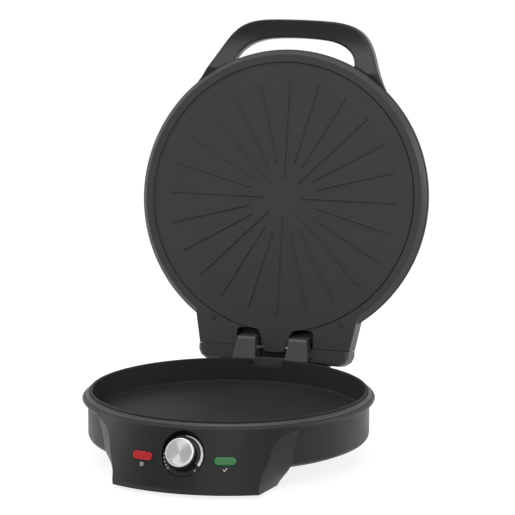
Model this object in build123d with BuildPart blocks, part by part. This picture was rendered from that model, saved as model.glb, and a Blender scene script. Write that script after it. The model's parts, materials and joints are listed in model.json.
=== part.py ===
"""Electric pizza maker: a round countertop cooker with a hinged lid, shown open.

Sizes are in millimetres, +Z is up, and -Y is the front with the control panel.
The origin is on the counter, under the middle of the open cooker.
"""
from build123d import *
from math import atan2, cos, pi, radians, sin, sqrt
import os

os.makedirs("parts", exist_ok=True)

# Main sizes
PAN_Y = -56.0            # centre line of the round base
RIM_Z = 79.2             # top edge of the baking pan above the counter
PAN_R = 150.0            # inside of the pan, for a 30 cm pizza
PAN_DEPTH = 26.4
PAN_TAPER = 1.2          # how much smaller the pan's floor is than its mouth
PAN_WALL = 2.0
PAN_LIP = 3.2            # width of the pan's flat lip
PAN_LIP_DEPTH = 4.2
WALL = 2.3               # moulded casing walls
SHEET = 1.2              # pressed sheet parts

# Base casing
CASING_R = PAN_R + 5.0   # round side wall
FLANGE_R = PAN_R + 11.2  # widest edge under the rim
FLANGE_Z = 70.6
FLANGE_BEAD = 2.8        # height of the bead outside the rim ring
BOWL_Z = 25.0            # underside of the round bowl
BOWL_ROUND = 7.0
FOOT_LIFT = 4.5          # casing edge above the counter
SEAT_R = PAN_R - 24.0           # inner edge of the seat for the bottom cover
COVER_T = 2.2

# Front control pod
POD_FRONT_R = FLANGE_R + 19.8   # conical panel just above its bottom bevel
POD_BEVEL = 9.8
POD_BEVEL_IN = 3.0
POD_BACK = PAN_R - 35.0  # back wall of the pod, in front of the centre line
POD_NOSE = POD_FRONT_R + 9.0    # plane in front of the panel where the side walls start
POD_NOSE_X = ((78.0, 0.0), (73.8, 14.0), (67.3, 27.0), (64.0, 42.0), (55.0, 58.0), (45.0, 72.0))
POD_BACK_X = ((87.0, 0.0), (95.0, 14.0), (104.0, 27.0), (107.0, 42.0), (110.0, 58.0), (118.0, 72.0))

# Rear pod and hinge
REAR_X = 63.0            # half width of the rear pod
REAR_START = PAN_R - 30.0       # front wall of the rear pod, behind the centre line
REAR_BACK = PAN_R + 50.0
REAR_TOP = 67.4
HINGE_Y = PAN_R + 29.3   # pin axis behind the centre line
HINGE_Z = RIM_Z + 0.6
OPEN_ANGLE = 101.4       # lid's swing from closed to the stop
LID_GAP = 0.5            # pan lip to grill plate when closed
PIN_R = 3.0
RUN_FIT = 0.05           # radial play of a shaft in its bore
GAP = 0.3                # play between parts that don't touch
LUG_IN, LUG_OUT = 18.0, 44.0
LUG_TOP = 99.2
LUG_FRONT = HINGE_Y - 17.7
LUG_BACK = HINGE_Y + 17.7
LUG_FOOT = 4.0
LUG_WEB = 3.0            # webs that join the two lugs in front and behind
NOTCH_X = 18.0           # spout notch in the back of the pan
NOTCH_DEPTH = 9.0

# Lid
PLATE_R = PAN_R + 4.1
PLATE_T = 2.5
PLATE_SKIRT = 8.0
RIB_W, RIB_H = 3.0, 1.2
RIB_OUT, RIB_LONG_IN, RIB_SHORT_IN = PLATE_R - 19.1, 22.0, 40.0
RIB_COUNT = 24
BEZEL_R = PLATE_R + 9.5  # flat face of the lid frame
BEZEL_OUT = BEZEL_R + 5.0
SEAM = 0.9               # groove between lid frame and plate
LID_R = BEZEL_OUT + 1.0
LID_DEPTH = 41.5
LID_EDGE_H = 8.3         # lower edge of the shell
CROWN_X = LID_R - 20.6   # where the shoulder meets the crown
CROWN_DROP = 7.5
HOUSING_TOP_X, HOUSING_TOP = 97.0, PLATE_R - 24.1
HOUSING_X, HOUSING_Y = 89.0, PLATE_R + 17.9
HOUSING_T = 22.0
HINGE_COVER_T = 2.5
BLOCK_END = HOUSING_Y + 18.0
BLOCK_FRONT = 5.0        # how far the hinge blocks stand in front of the lid's face
SLOT_IN, SLOT_OUT = 17.0, 45.5
SLOT_START = PLATE_R - 2.6
TONGUE_X, TONGUE_END_X, TONGUE_END = 17.4, 12.2, PLATE_R + 23.9
ARM_X_IN, ARM_X_OUT = 68.0, 84.0
HINGE_SCREW = (75.4, HOUSING_TOP + 12.3)

# Handle: outline points (x, distance from the lid's centre) and slope of the loop
HANDLE_OUT = ((124.0, 112.0), (105.5, 139.0), (98.5, 153.0), (92.0, 167.0), (84.5, 181.0), (72.0, 195.0),
              (50.0, 203.6), (24.0, 205.6), (0.0, 206.0))
HANDLE_IN = ((72.0, 148.0), (70.8, 158.0), (65.6, 167.5), (57.6, 174.5), (42.6, 180.8), (21.0, 183.8),
             (0.0, 184.5))
HANDLE_RISE = ((100.0, -6.0), (139.0, 13.5), (153.0, 22.0), (170.0, 33.5), (190.0, 41.0), (212.0, 43.5))
HANDLE_T = 17.0
HANDLE_SPLIT = 3.0       # seam between the two halves, towards the back from the middle
HANDLE_SEAM = 0.3
HANDLE_ROOT = 7.5        # the lid's own stub under each leg

# Control panel
DIAL_Z = 45.3
DIAL_LEAN = 26.0         # the dial looks up more than the panel does, degrees
DISH_R, DISH_DEPTH = 22.8, 5.0
DISH_EDGE = 1.2          # wall round the foot of the dish
DISH_TAPER = 20.0        # the dish widens towards the user, degrees
DIAL_PLATE_T = 1.0
KNOB_R, KNOB_TOP_R = 18.0, 16.3
KNOB_H = 9.8
CAP_R, CAP_T = 15.9, 3.4
SHAFT_R = 3.0
LENS_ANGLE, LENS_Z = 15.5, 40.2
LENS_L, LENS_W, LENS_PROUD = 24.0, 9.0, 1.6
POINTER_ANGLE = 217.6    # pointer's direction at rest, anticlockwise from +X
MARK_DEPTH = 0.5

# Heating
TUBE_R = 3.2
COIL_R = PAN_R - 46.0
COIL_GAP = 50.0          # open angle of the element, degrees
COIL_TAIL = 22.0
SHIELD_R = PAN_R - 29.0
BOSS_R = 4.0
PLATE_BOSS_AT = PAN_R - 64.0
SCREW_R = 1.5
SCREW_HEAD_R = 3.2
SCREW_HEAD_T = 2.0
BOSS_H = 12.0            # bosses that carry the heat shields
SHIELD_RIM = 4.7
COIL_BEND = 12.0
CLIP_ANGLES = (-90, -25, 25, 155, 205)
SLEEVE_R = 2.4

# Smaller pieces
POST_R, POST_H = 5.0, 12.0
POD_COVER_Z = 6.0
FOOT_R, FOOT_PEG_R = 7.5, 3.0
FRONT_FEET = [(-66, -POD_BACK - 19), (66, -POD_BACK - 19)]
REAR_FEET = [(-50, REAR_BACK - 22), (50, REAR_BACK - 22)]
COVER_SCREW_R = SEAT_R + 8.0
COVER_SCREWS = [(side * COVER_SCREW_R * cos(radians(turn)), COVER_SCREW_R * sin(radians(turn)))
                for side in (-1, 1) for turn in (-35, 0, 35)]
POD_SCREWS = [(side * x, -POD_BACK - y) for x, y in ((72, 6), (58, 45)) for side in (-1, 1)]
REAR_SCREWS = [(-30, REAR_BACK - 6.5), (30, REAR_BACK - 6.5)]
BRACKET_SCREWS = [(0, HINGE_Y - 7.3), (0, HINGE_Y + 7.7)]
VENT_AT, VENT_PITCH, VENT_L, VENT_W = 60.0, 16.0, 60.0, 4.0
PANEL_BACKING = 1.7      # thickness of the panel behind the dish
BUSHING_R = 4.6
TERMINAL_Y, TERMINAL_H = REAR_START + 32.0, 9.0
GLAND_X, GLAND_Z = -44.0, 26.0
GLAND_R, GLAND_BORE = 6.0, 3.6
PIN_IN, PIN_OUT = 24.0, 72.0
BLOCK_IN = LUG_OUT + 2 * GAP
BUSH_R, BUSH_OUT = 4.6, 74.0
ARM_H = (4.0, 12.0)
HINGE_SCREWS = [(-HINGE_SCREW[0], HINGE_SCREW[1]), HINGE_SCREW]
HINGE_SCREW_SINK = 1.0
COLLAR_R, COLLAR_H = PLATE_R + 2.9, 12.0
BRIDGE_X, BRIDGE_Y = 52.0, SLOT_START - 5.5   # web under the plate that holds the strip between the slots
HOUSING_OUTLINE = [(HOUSING_X, HOUSING_Y), (HOUSING_TOP_X, HOUSING_TOP)]
CLEAR_OUTLINE = [(x + GAP, y - GAP) for x, y in [(HOUSING_X, 200), *HOUSING_OUTLINE]]
BOSS_TURNS = (pi / 6, 5 * pi / 6, 3 * pi / 2)
PLATE_BOSSES = [(PLATE_BOSS_AT * cos(turn), PLATE_BOSS_AT * sin(turn)) for turn in BOSS_TURNS]
SHELL_POSTS = [(60 * cos(radians(turn)), 60 * sin(radians(turn))) for turn in (90, 210, 330)]

# Derived places
CROWN_R = (CROWN_X ** 2 + CROWN_DROP ** 2) / (2 * CROWN_DROP)
FLOOR_Z = RIM_Z - PAN_DEPTH
PAN_BOTTOM = FLOOR_Z - 2.5
LIP_BOTTOM = RIM_Z - PAN_LIP_DEPTH
LEAN = atan2(POD_FRONT_R - FLANGE_R, FLANGE_Z - POD_BEVEL)
CENTRE_LINE = Axis((0, PAN_Y, 0), (0, 0, 1))
SECTION = Plane((0, PAN_Y, 0), x_dir=(1, 0, 0), z_dir=(0, -1, 0))
SIDE = Plane((0, PAN_Y, 0), x_dir=(0, 1, 0), z_dir=(1, 0, 0))

OPEN = radians(OPEN_ANGLE)
ARM_Y = -HINGE_Y
ARM_Z = RIM_Z + LID_GAP - HINGE_Z
LID = Plane(
    (
        0,
        PAN_Y + HINGE_Y + ARM_Y * cos(OPEN) + ARM_Z * sin(OPEN),
        HINGE_Z - ARM_Y * sin(OPEN) + ARM_Z * cos(OPEN),
    ),
    x_dir=(1, 0, 0),
    z_dir=(0, sin(OPEN), cos(OPEN)),
)
LID_AXIS = Axis(LID.origin, LID.z_dir)
LID_SECTION = Plane(LID.origin, x_dir=LID.x_dir, z_dir=LID.y_dir * -1)
LID_SIDE = Plane(LID.origin, x_dir=LID.y_dir, z_dir=LID.x_dir)
PIN_H = HINGE_Z - RIM_Z - LID_GAP      # pin axis above the lid's face plane
LID_PIN = Plane(LID.from_local_coords(Vector(0, HINGE_Y, PIN_H)), x_dir=LID.y_dir, z_dir=LID.x_dir)
BASE_PIN = Plane((0, PAN_Y + HINGE_Y, HINGE_Z), x_dir=(0, 1, 0), z_dir=(1, 0, 0))


def panel_radius(height):
    """Radius of the conical control panel at a height."""
    slope = (POD_FRONT_R - FLANGE_R) / (FLANGE_Z - POD_BEVEL)
    return FLANGE_R + (FLANGE_Z - height) * slope


def panel_plane(angle, height):
    """Plane that touches the control panel, its normal pointing out to the user."""
    turn = radians(angle)
    reach = panel_radius(height)
    centre = (reach * sin(turn), PAN_Y - reach * cos(turn), height)
    across = (cos(turn), sin(turn), 0)
    return Plane(centre, x_dir=across, z_dir=(sin(turn) * cos(LEAN), -cos(turn) * cos(LEAN), sin(LEAN)))


dial_turn = radians(DIAL_LEAN)
DIAL = Plane(
    (0, PAN_Y - panel_radius(DIAL_Z), DIAL_Z),
    x_dir=(1, 0, 0),
    z_dir=(0, -cos(dial_turn), sin(dial_turn)),
)
DIAL_AXIS = Axis(DIAL.origin, DIAL.z_dir)
DIAL_SECTION = Plane(DIAL.origin, x_dir=DIAL.x_dir, z_dir=DIAL.y_dir * -1)
THERMOSTAT = DIAL.offset(-DISH_DEPTH - PANEL_BACKING)
GLAND = Plane((GLAND_X, PAN_Y + REAR_BACK, GLAND_Z), x_dir=(1, 0, 0), z_dir=(0, 1, 0))
GLAND_SECTION = Plane(GLAND.origin, x_dir=GLAND.x_dir, z_dir=GLAND.y_dir * -1)
PAN_BACK = Plane((0, PAN_Y, PAN_BOTTOM), x_dir=(1, 0, 0), z_dir=(0, 0, -1))
PLATE_BACK = LID.offset(PLATE_T)
WIRE_Z = BOWL_Z + 2 * WALL + SLEEVE_R
TERMINAL_TOP = POD_COVER_Z + COVER_T + TERMINAL_H
BASE_RUN = [
    (0, PAN_Y + TERMINAL_Y - 2, TERMINAL_TOP),
    (0, PAN_Y + TERMINAL_Y - 2, WIRE_Z),
    (0, PAN_Y - 138, WIRE_Z),
]
SUPPLY_RUN = [
    (GLAND_X, PAN_Y + REAR_BACK - 9, GLAND_Z),
    (GLAND_X, PAN_Y + TERMINAL_Y + 20, GLAND_Z),
    (-12, PAN_Y + TERMINAL_Y + 4, GLAND_Z),
    (-12, PAN_Y + TERMINAL_Y + 4, TERMINAL_TOP),
]
LID_WIRE_H = PLATE_T + BOSS_H + SHEET + SLEEVE_R + GAP
LID_RUN = [(0, 70, LID_WIRE_H), (0, HOUSING_Y - 24, LID_WIRE_H), (0, HOUSING_Y - 6, LID_WIRE_H - 4)]


def level(height):
    """Horizontal plane with its origin on the base's centre line."""
    return Plane((0, PAN_Y, height))


def save(builder, name):
    """Label one finished sub-part and write its STEP file."""
    builder.part.label = name
    export_step(builder.part, f"parts/{name}.step")


def mirrored(points):
    """Points on the +X side followed by their mirror images, as one open run."""
    return list(points) + [(-x, y) for x, y in reversed(points) if x != 0]


def pod_solid(inset):
    """Front control pod as a full solid, with its walls moved in by inset."""
    with BuildPart() as pod:
        for plane_y, points in ((POD_NOSE, POD_NOSE_X), (POD_BACK + inset, POD_BACK_X)):
            with BuildSketch(Plane((0, PAN_Y - plane_y, 0), x_dir=(1, 0, 0), z_dir=(0, -1, 0))):
                with BuildLine():
                    right = [(x - inset, z) for x, z in points]
                    left = [(-x, z) for x, z in reversed(right)]
                    Spline(*right)
                    Line(right[-1], left[0])
                    Spline(*left)
                    Line(left[-1], right[0])
                make_face()
        loft(ruled=True)
        with BuildSketch(SECTION):
            with BuildLine():
                Polyline(
                    (0, 0),
                    (POD_FRONT_R - POD_BEVEL_IN - inset, 0),
                    (POD_FRONT_R - inset, POD_BEVEL),
                    (FLANGE_R - inset, FLANGE_Z - inset),
                    (0, FLANGE_Z - inset),
                    close=True,
                )
            make_face()
        revolve(axis=CENTRE_LINE, mode=Mode.INTERSECT)
    return pod.part


def rear_solid(inset):
    """Rear pod under the hinge as a full solid, with its walls moved in by inset."""
    slope = sin(radians(OPEN_ANGLE - 90))
    stop_y = HINGE_Y + 5.4
    stop_drop = (REAR_BACK - stop_y) * slope
    with BuildPart() as pod:
        with BuildSketch(SIDE):
            with BuildLine():
                Polyline(
                    (REAR_START + inset, 0),
                    (REAR_BACK - inset, 0),
                    (REAR_BACK - inset, REAR_TOP - stop_drop - inset),
                    (stop_y, REAR_TOP - inset),
                    (REAR_START + inset, REAR_TOP - inset),
                    close=True,
                )
            make_face()
        extrude(amount=REAR_X - inset, both=True)
        if inset == 0:
            back = pod.edges().filter_by(Axis.Z).group_by(Axis.Y)[-1]
            fillet(back, radius=5)
    return pod.part


def lid_envelope(extra):
    """The lid's outer form, without hinge and handle, grown by extra."""
    with BuildPart() as envelope:
        with BuildSketch(LID_SECTION):
            with BuildLine():
                dome_profile(extra)
                Polyline((0, crown(0, extra)), (0, 0), (BEZEL_OUT + extra, 0), (LID_R + extra, LID_EDGE_H))
            make_face()
        revolve(axis=LID_AXIS)
    return envelope.part


def dome_profile(extra):
    """Half section of the lid's outer surface, from its edge to the centre."""
    edge = Line((LID_R + extra, LID_EDGE_H), (LID_R + extra, 11))
    middle = (LID_R - 5.7 + extra * 0.8, 25.2 + extra * 0.6)
    shoulder = ThreePointArc(edge @ 1, middle, (CROWN_X, crown(CROWN_X, extra)))
    ThreePointArc(shoulder @ 1, (CROWN_X / 2, crown(CROWN_X / 2, extra)), (0, crown(0, extra)))


def crown(reach, extra):
    """Height of the lid's shallow spherical crown above its face plane."""
    return LID_DEPTH - CROWN_R + sqrt((CROWN_R + extra) ** 2 - reach ** 2)


# Baking pan with its spout notch
with BuildPart() as baking_pan:
    with BuildSketch(SECTION):
        with BuildLine():
            Polyline(
                (0, FLOOR_Z),
                (PAN_R - PAN_TAPER, FLOOR_Z),
                (PAN_R, RIM_Z),
                (PAN_R + PAN_LIP, RIM_Z),
                (PAN_R + PAN_LIP, LIP_BOTTOM),
                (PAN_R + PAN_WALL, LIP_BOTTOM),
                (PAN_R - PAN_TAPER + PAN_WALL, PAN_BOTTOM + 2),
                (PAN_R - PAN_TAPER + PAN_WALL - 3, PAN_BOTTOM),
                (0, PAN_BOTTOM),
                close=True,
            )
        make_face()
    revolve(axis=CENTRE_LINE)
    fillet(baking_pan.edges().filter_by_position(Axis.Z, FLOOR_Z - 0.1, FLOOR_Z + 0.1), 1.6)
    fillet(baking_pan.edges().filter_by_position(Axis.Z, RIM_Z - 0.1, RIM_Z + 0.1), 0.8)
    with BuildSketch(SECTION):
        with Locations((0, RIM_Z)):
            RectangleRounded(2 * NOTCH_X, 2 * NOTCH_DEPTH, 3)
    extrude(amount=-HINGE_Y, mode=Mode.SUBTRACT)
    with BuildSketch(level(PAN_BOTTOM)):
        with Locations(*[(x, -y) for x, y in PLATE_BOSSES]):
            Circle(BOSS_R)
    extrude(amount=-BOSS_H)
    with BuildSketch(level(PAN_BOTTOM - BOSS_H)):
        with Locations(*[(x, -y) for x, y in PLATE_BOSSES]):
            Circle(SCREW_R)
    extrude(amount=10, mode=Mode.SUBTRACT)
save(baking_pan, "baking_pan")

# Heat-resistant ring that carries the pan's lip
with BuildPart() as rim_ring:
    with BuildSketch(SECTION):
        with BuildLine():
            Polyline(
                (PAN_R + PAN_WALL + 0.4, FLANGE_Z),
                (PAN_R + 7.8, FLANGE_Z),
                (PAN_R + 7.8, FLANGE_Z + 3.4),
                (PAN_R + 7.2, FLANGE_Z + 4.2),
                (PAN_R + 4.6, FLANGE_Z + 6.4),
                (PAN_R + PAN_LIP + 0.5, FLANGE_Z + 6.4),
                (PAN_R + PAN_LIP + 0.5, LIP_BOTTOM),
                (PAN_R + PAN_WALL + 0.4, LIP_BOTTOM),
                close=True,
            )
        make_face()
    revolve(axis=CENTRE_LINE)
    with BuildSketch(SECTION):
        with Locations((0, RIM_Z)):
            Rectangle(2 * NOTCH_X + 1, 2 * (RIM_Z - FLANGE_Z - 0.6))
    extrude(amount=-HINGE_Y, mode=Mode.SUBTRACT)
save(rim_ring, "rim_ring")

# Thickening of the panel behind the dial's dish
with BuildPart() as dial_boss:
    with BuildSketch(DIAL.offset(-DISH_DEPTH - PANEL_BACKING)):
        Circle(DISH_R + DISH_EDGE)
    extrude(amount=4 * DISH_DEPTH, taper=-DISH_TAPER)
    with BuildSketch(level(0)):
        Circle(CASING_R - WALL)
    extrude(amount=RIM_Z, mode=Mode.SUBTRACT)
    add(pod_solid(0), mode=Mode.INTERSECT)

# Base casing: round bowl wall with the control pod and the rear pod
with BuildPart() as base_casing:
    with BuildSketch(SECTION):
        with BuildLine():
            Polyline(
                (CASING_R - BOWL_ROUND, BOWL_Z),
                (SEAT_R, BOWL_Z),
                (SEAT_R, BOWL_Z + WALL),
                (CASING_R - BOWL_ROUND, BOWL_Z + WALL),
                (CASING_R - WALL, BOWL_Z + BOWL_ROUND),
                (CASING_R - WALL, FLANGE_Z),
                (PAN_R + 8.2, FLANGE_Z),
                (PAN_R + 8.2, FLANGE_Z + FLANGE_BEAD),
                (FLANGE_R - 1.0, FLANGE_Z + FLANGE_BEAD - 1.2),
                (FLANGE_R, FLANGE_Z),
                (FLANGE_R - 0.6, FLANGE_Z - 1.8),
                (CASING_R + 1.4, FLANGE_Z - 5.8),
                (CASING_R, FLANGE_Z - 6.2),
                (CASING_R, BOWL_Z + BOWL_ROUND),
            )
            corner = BOWL_ROUND * (1 - cos(pi / 4))
            ThreePointArc(
                (CASING_R, BOWL_Z + BOWL_ROUND),
                (CASING_R - corner, BOWL_Z + corner),
                (CASING_R - BOWL_ROUND, BOWL_Z),
            )
        make_face()
    revolve(axis=CENTRE_LINE)
    add(pod_solid(0))
    add(rear_solid(0))
    with BuildSketch(SECTION):
        with BuildLine():
            Polyline(
                (0, BOWL_Z + WALL),
                (CASING_R - BOWL_ROUND, BOWL_Z + WALL),
                (CASING_R - WALL, BOWL_Z + BOWL_ROUND),
                (CASING_R - WALL, RIM_Z),
                (0, RIM_Z),
                close=True,
            )
        make_face()
    revolve(axis=CENTRE_LINE, mode=Mode.SUBTRACT)
    add(pod_solid(WALL), mode=Mode.SUBTRACT)
    add(rear_solid(WALL), mode=Mode.SUBTRACT)
    with BuildSketch(level(0)):
        Rectangle(500, 500)
    extrude(amount=FOOT_LIFT, mode=Mode.SUBTRACT)
    add(dial_boss.part)
    with BuildSketch(DIAL.offset(-DISH_DEPTH)):
        Circle(DISH_R)
    extrude(amount=3 * DISH_DEPTH, taper=-DISH_TAPER, mode=Mode.SUBTRACT)
    with BuildSketch(DIAL.offset(-DISH_DEPTH - PANEL_BACKING - 1)):
        Circle(BUSHING_R + GAP)
    extrude(amount=2 * PANEL_BACKING, mode=Mode.SUBTRACT)
    for angle in (-LENS_ANGLE, LENS_ANGLE):
        with BuildSketch(panel_plane(angle, LENS_Z).offset(-2 * WALL)):
            SlotOverall(LENS_L + GAP, LENS_W + GAP)
        extrude(amount=4 * WALL, mode=Mode.SUBTRACT)
    with BuildSketch(SECTION):
        with Locations((0, RIM_Z)):
            Rectangle(2 * NOTCH_X + 1, 2 * (RIM_Z - FLANGE_Z))
    extrude(amount=-HINGE_Y, mode=Mode.SUBTRACT)
    with BuildSketch(level(BOWL_Z)):
        with Locations(*COVER_SCREWS):
            Circle(POST_R)
    extrude(amount=POST_H)
    with BuildSketch(level(POD_COVER_Z + COVER_T)):
        with Locations(*POD_SCREWS):
            Circle(POST_R)
    extrude(amount=BOWL_Z - POD_COVER_Z - COVER_T + 0.5)
    with BuildSketch(level(POD_COVER_Z + COVER_T)):
        with Locations(*REAR_SCREWS):
            Circle(POST_R)
    extrude(amount=REAR_TOP - POD_COVER_Z - 2 * COVER_T)
    with BuildSketch(level(REAR_TOP - POST_H)):
        with Locations(*BRACKET_SCREWS):
            Circle(POST_R)
    extrude(amount=POST_H - 1)
    with BuildSketch(level(0)):
        with Locations(*COVER_SCREWS, *POD_SCREWS, *REAR_SCREWS):
            Circle(SCREW_R)
    extrude(amount=BOWL_Z + POST_H - 2, mode=Mode.SUBTRACT)
    with BuildSketch(level(REAR_TOP - POST_H + 2)):
        with Locations(*BRACKET_SCREWS):
            Circle(SCREW_R)
    extrude(amount=POST_H, mode=Mode.SUBTRACT)
    with BuildSketch(GLAND):
        Circle(GLAND_R + GAP)
    extrude(amount=4 * WALL, both=True, mode=Mode.SUBTRACT)
save(base_casing, "base_casing")

# Round bottom cover with ventilation slots
with BuildPart() as bottom_cover:
    with BuildSketch(level(BOWL_Z - COVER_T)):
        Circle(CASING_R - BOWL_ROUND - 3)
        with Locations((0, (REAR_START - POD_BACK) / 2)):
            Rectangle(400, REAR_START + POD_BACK - 2 * GAP, mode=Mode.INTERSECT)
        with Locations(*COVER_SCREWS):
            Circle(SCREW_R + GAP, mode=Mode.SUBTRACT)
        for row in range(-3, 4):
            with Locations((-VENT_AT, row * VENT_PITCH), (VENT_AT, row * VENT_PITCH)):
                SlotOverall(VENT_L, VENT_W, mode=Mode.SUBTRACT)
    extrude(amount=COVER_T)
    chamfer(bottom_cover.faces().sort_by(Axis.Z)[0].outer_wire().edges(), 0.8)
save(bottom_cover, "bottom_cover")


def pod_cover(solid, screw_places, foot_places):
    """Flat cover inside a pod's lower edge, with its screw and foot holes."""
    with BuildPart() as cover:
        add(solid)
        with BuildSketch(level(POD_COVER_Z)):
            Rectangle(500, 500)
        extrude(amount=COVER_T, mode=Mode.INTERSECT)
        with BuildSketch(level(0)):
            with Locations(*screw_places):
                Circle(SCREW_R + GAP)
            with Locations(*foot_places):
                Circle(FOOT_PEG_R)
        extrude(amount=BOWL_Z, mode=Mode.SUBTRACT)
    return cover


control_pod_cover = pod_cover(pod_solid(WALL + GAP), POD_SCREWS, FRONT_FEET)
save(control_pod_cover, "control_pod_cover")
rear_pod_cover = pod_cover(rear_solid(WALL + GAP), REAR_SCREWS, REAR_FEET)
save(rear_pod_cover, "rear_pod_cover")

# Four rubber feet pegged into the pod covers
with BuildPart() as rubber_feet:
    with BuildSketch(level(0)):
        with Locations(*FRONT_FEET, *REAR_FEET):
            Circle(FOOT_R)
    extrude(amount=POD_COVER_Z)
    chamfer(rubber_feet.edges().group_by(Axis.Z)[0], 0.8)
    with BuildSketch(level(POD_COVER_Z)):
        with Locations(*FRONT_FEET, *REAR_FEET):
            Circle(FOOT_PEG_R)
    extrude(amount=COVER_T)
save(rubber_feet, "rubber_feet")


def screws(name, groups):
    """One node of pan-head screws; each group has a head plane, places and a shank length."""
    with BuildPart() as group:
        for head_plane, places, length in groups:
            with BuildSketch(head_plane):
                with Locations(*places):
                    Circle(SCREW_HEAD_R)
            extrude(amount=SCREW_HEAD_T)
            with BuildSketch(head_plane):
                with Locations(*places):
                    Circle(SCREW_R)
            extrude(amount=-length)
            top = head_plane.offset(SCREW_HEAD_T)
            with BuildSketch(top):
                with Locations(*places):
                    Rectangle(3.4, 0.8)
                    Rectangle(0.8, 3.4)
            extrude(amount=-1.2, mode=Mode.SUBTRACT)
    save(group, name)


def under(height, places):
    """Head plane that faces down at a height, with its places mirrored to match."""
    plane = Plane((0, PAN_Y, height), x_dir=(1, 0, 0), z_dir=(0, 0, -1))
    return plane, [(x, -y) for x, y in places]


cover_plane, cover_places = under(BOWL_Z - COVER_T, COVER_SCREWS)
pod_plane, pod_places = under(POD_COVER_Z, POD_SCREWS + REAR_SCREWS)
screws("casing_screws", [(cover_plane, cover_places, 11), (pod_plane, pod_places, 11)])

# Cable gland in the rear pod, its bore left open
with BuildPart() as cable_gland:
    with BuildSketch(GLAND_SECTION):
        with BuildLine():
            Polyline(
                (GLAND_BORE, -8),
                (GLAND_R + 1.2, -8),
                (GLAND_R + 1.2, -WALL - GAP),
                (GLAND_R, -WALL - GAP),
                (GLAND_R, 0),
                (GLAND_R + 2.4, 0),
                (GLAND_R + 2.4, 1.6),
                (GLAND_R + 1.4, 2.6),
                (GLAND_BORE, 2.6),
                close=True,
            )
        make_face()
    revolve(axis=Axis(GLAND.origin, GLAND.z_dir))
save(cable_gland, "cable_gland")

# Terminal block on the rear pod's cover
with BuildPart() as terminal_block:
    with BuildSketch(level(POD_COVER_Z + COVER_T)):
        with Locations((0, TERMINAL_Y)):
            Rectangle(36, 16)
    extrude(amount=TERMINAL_H)
    with BuildSketch(level(TERMINAL_TOP)):
        with Locations((0, TERMINAL_Y)):
            with GridLocations(11, 8, 3, 2):
                Circle(2)
    extrude(amount=-4, mode=Mode.SUBTRACT)
save(terminal_block, "terminal_block")

# Adjustable thermostat behind the dial, its bushing through the panel
with BuildPart() as thermostat:
    with BuildSketch(THERMOSTAT):
        RectangleRounded(30, 20, 2)
    extrude(amount=-18)
    with BuildSketch(THERMOSTAT):
        Circle(BUSHING_R)
    extrude(amount=PANEL_BACKING + 0.6)
    with BuildSketch(THERMOSTAT.offset(-15)):
        Circle(SHAFT_R + RUN_FIT)
    extrude(amount=40, mode=Mode.SUBTRACT)
save(thermostat, "thermostat")

with BuildPart() as thermostat_shaft:
    with BuildSketch(THERMOSTAT.offset(-14)):
        Circle(SHAFT_R)
    extrude(amount=14 + DISH_DEPTH + PANEL_BACKING + KNOB_H - 4)
    with BuildSketch(DIAL.offset(KNOB_H - 9)):
        with Locations((0, -SHAFT_R)):
            Rectangle(3 * SHAFT_R, 1.6)
    extrude(amount=KNOB_H, mode=Mode.SUBTRACT)
save(thermostat_shaft, "thermostat_shaft")

# Knob: black tapered body and brushed cap with its pointer groove
with BuildPart() as knob_body:
    with BuildSketch(DIAL_SECTION):
        with BuildLine():
            Polyline(
                (KNOB_R, -DISH_DEPTH + DIAL_PLATE_T + GAP),
                (KNOB_R, -DISH_DEPTH + 4),
                (KNOB_TOP_R, KNOB_H - 0.8),
                (KNOB_TOP_R - 0.6, KNOB_H),
                (0, KNOB_H),
                (0, KNOB_H - 3.9),
                (SHAFT_R + RUN_FIT, KNOB_H - 3.9),
                (SHAFT_R + RUN_FIT, -DISH_DEPTH + 3),
                (SHAFT_R + 3, -DISH_DEPTH + 3),
                (SHAFT_R + 3, KNOB_H - 3),
                (KNOB_TOP_R - 2.2, KNOB_H - 3),
                (KNOB_R - 2, -DISH_DEPTH + 4),
                (KNOB_R - 2, -DISH_DEPTH + DIAL_PLATE_T + GAP),
                close=True,
            )
        make_face()
    revolve(axis=DIAL_AXIS)
save(knob_body, "knob_body")

with BuildPart() as knob_cap:
    with BuildSketch(DIAL.offset(KNOB_H)):
        Circle(CAP_R)
    extrude(amount=CAP_T)
    fillet(knob_cap.faces().sort_by(DIAL_AXIS)[-1].edges(), 0.9)
    with BuildSketch(DIAL.offset(KNOB_H + CAP_T)):
        turn = radians(POINTER_ANGLE)
        with Locations(Location((11.2 * cos(turn), 11.2 * sin(turn), 0), (0, 0, POINTER_ANGLE))):
            SlotOverall(8.4, 1.5)
    extrude(amount=-MARK_DEPTH, mode=Mode.SUBTRACT)
save(knob_cap, "knob_cap")

with BuildPart() as dial_plate:
    with BuildSketch(DIAL.offset(-DISH_DEPTH)):
        Circle(DISH_R - GAP)
        Circle(BUSHING_R + GAP, mode=Mode.SUBTRACT)
    extrude(amount=DIAL_PLATE_T)
save(dial_plate, "dial_plate")


def lens(angle, name):
    """Pill-shaped indicator lens with its flange behind the panel."""
    plane = panel_plane(angle, LENS_Z)
    back = -WALL - 1.0
    with BuildPart() as pill:
        with BuildSketch(plane.offset(back)):
            SlotOverall(LENS_L, LENS_W)
        extrude(amount=LENS_PROUD - back)
        fillet(pill.faces().sort_by(Axis(plane.origin, plane.z_dir))[-1].edges(), 1.0)
        with BuildSketch(plane.offset(back)):
            SlotOverall(LENS_L + 3, LENS_W + 3)
        extrude(amount=-1.2)
    save(pill, name)


lens(-LENS_ANGLE, "power_lens")
lens(LENS_ANGLE, "ready_lens")

# Neon lamps in their holders behind the lenses
with BuildPart() as indicator_lamps:
    for angle in (-LENS_ANGLE, LENS_ANGLE):
        with BuildSketch(panel_plane(angle, LENS_Z).offset(-WALL - 2.2)):
            RectangleRounded(18, 9, 1)
        extrude(amount=-8)
save(indicator_lamps, "indicator_lamps")

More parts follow.
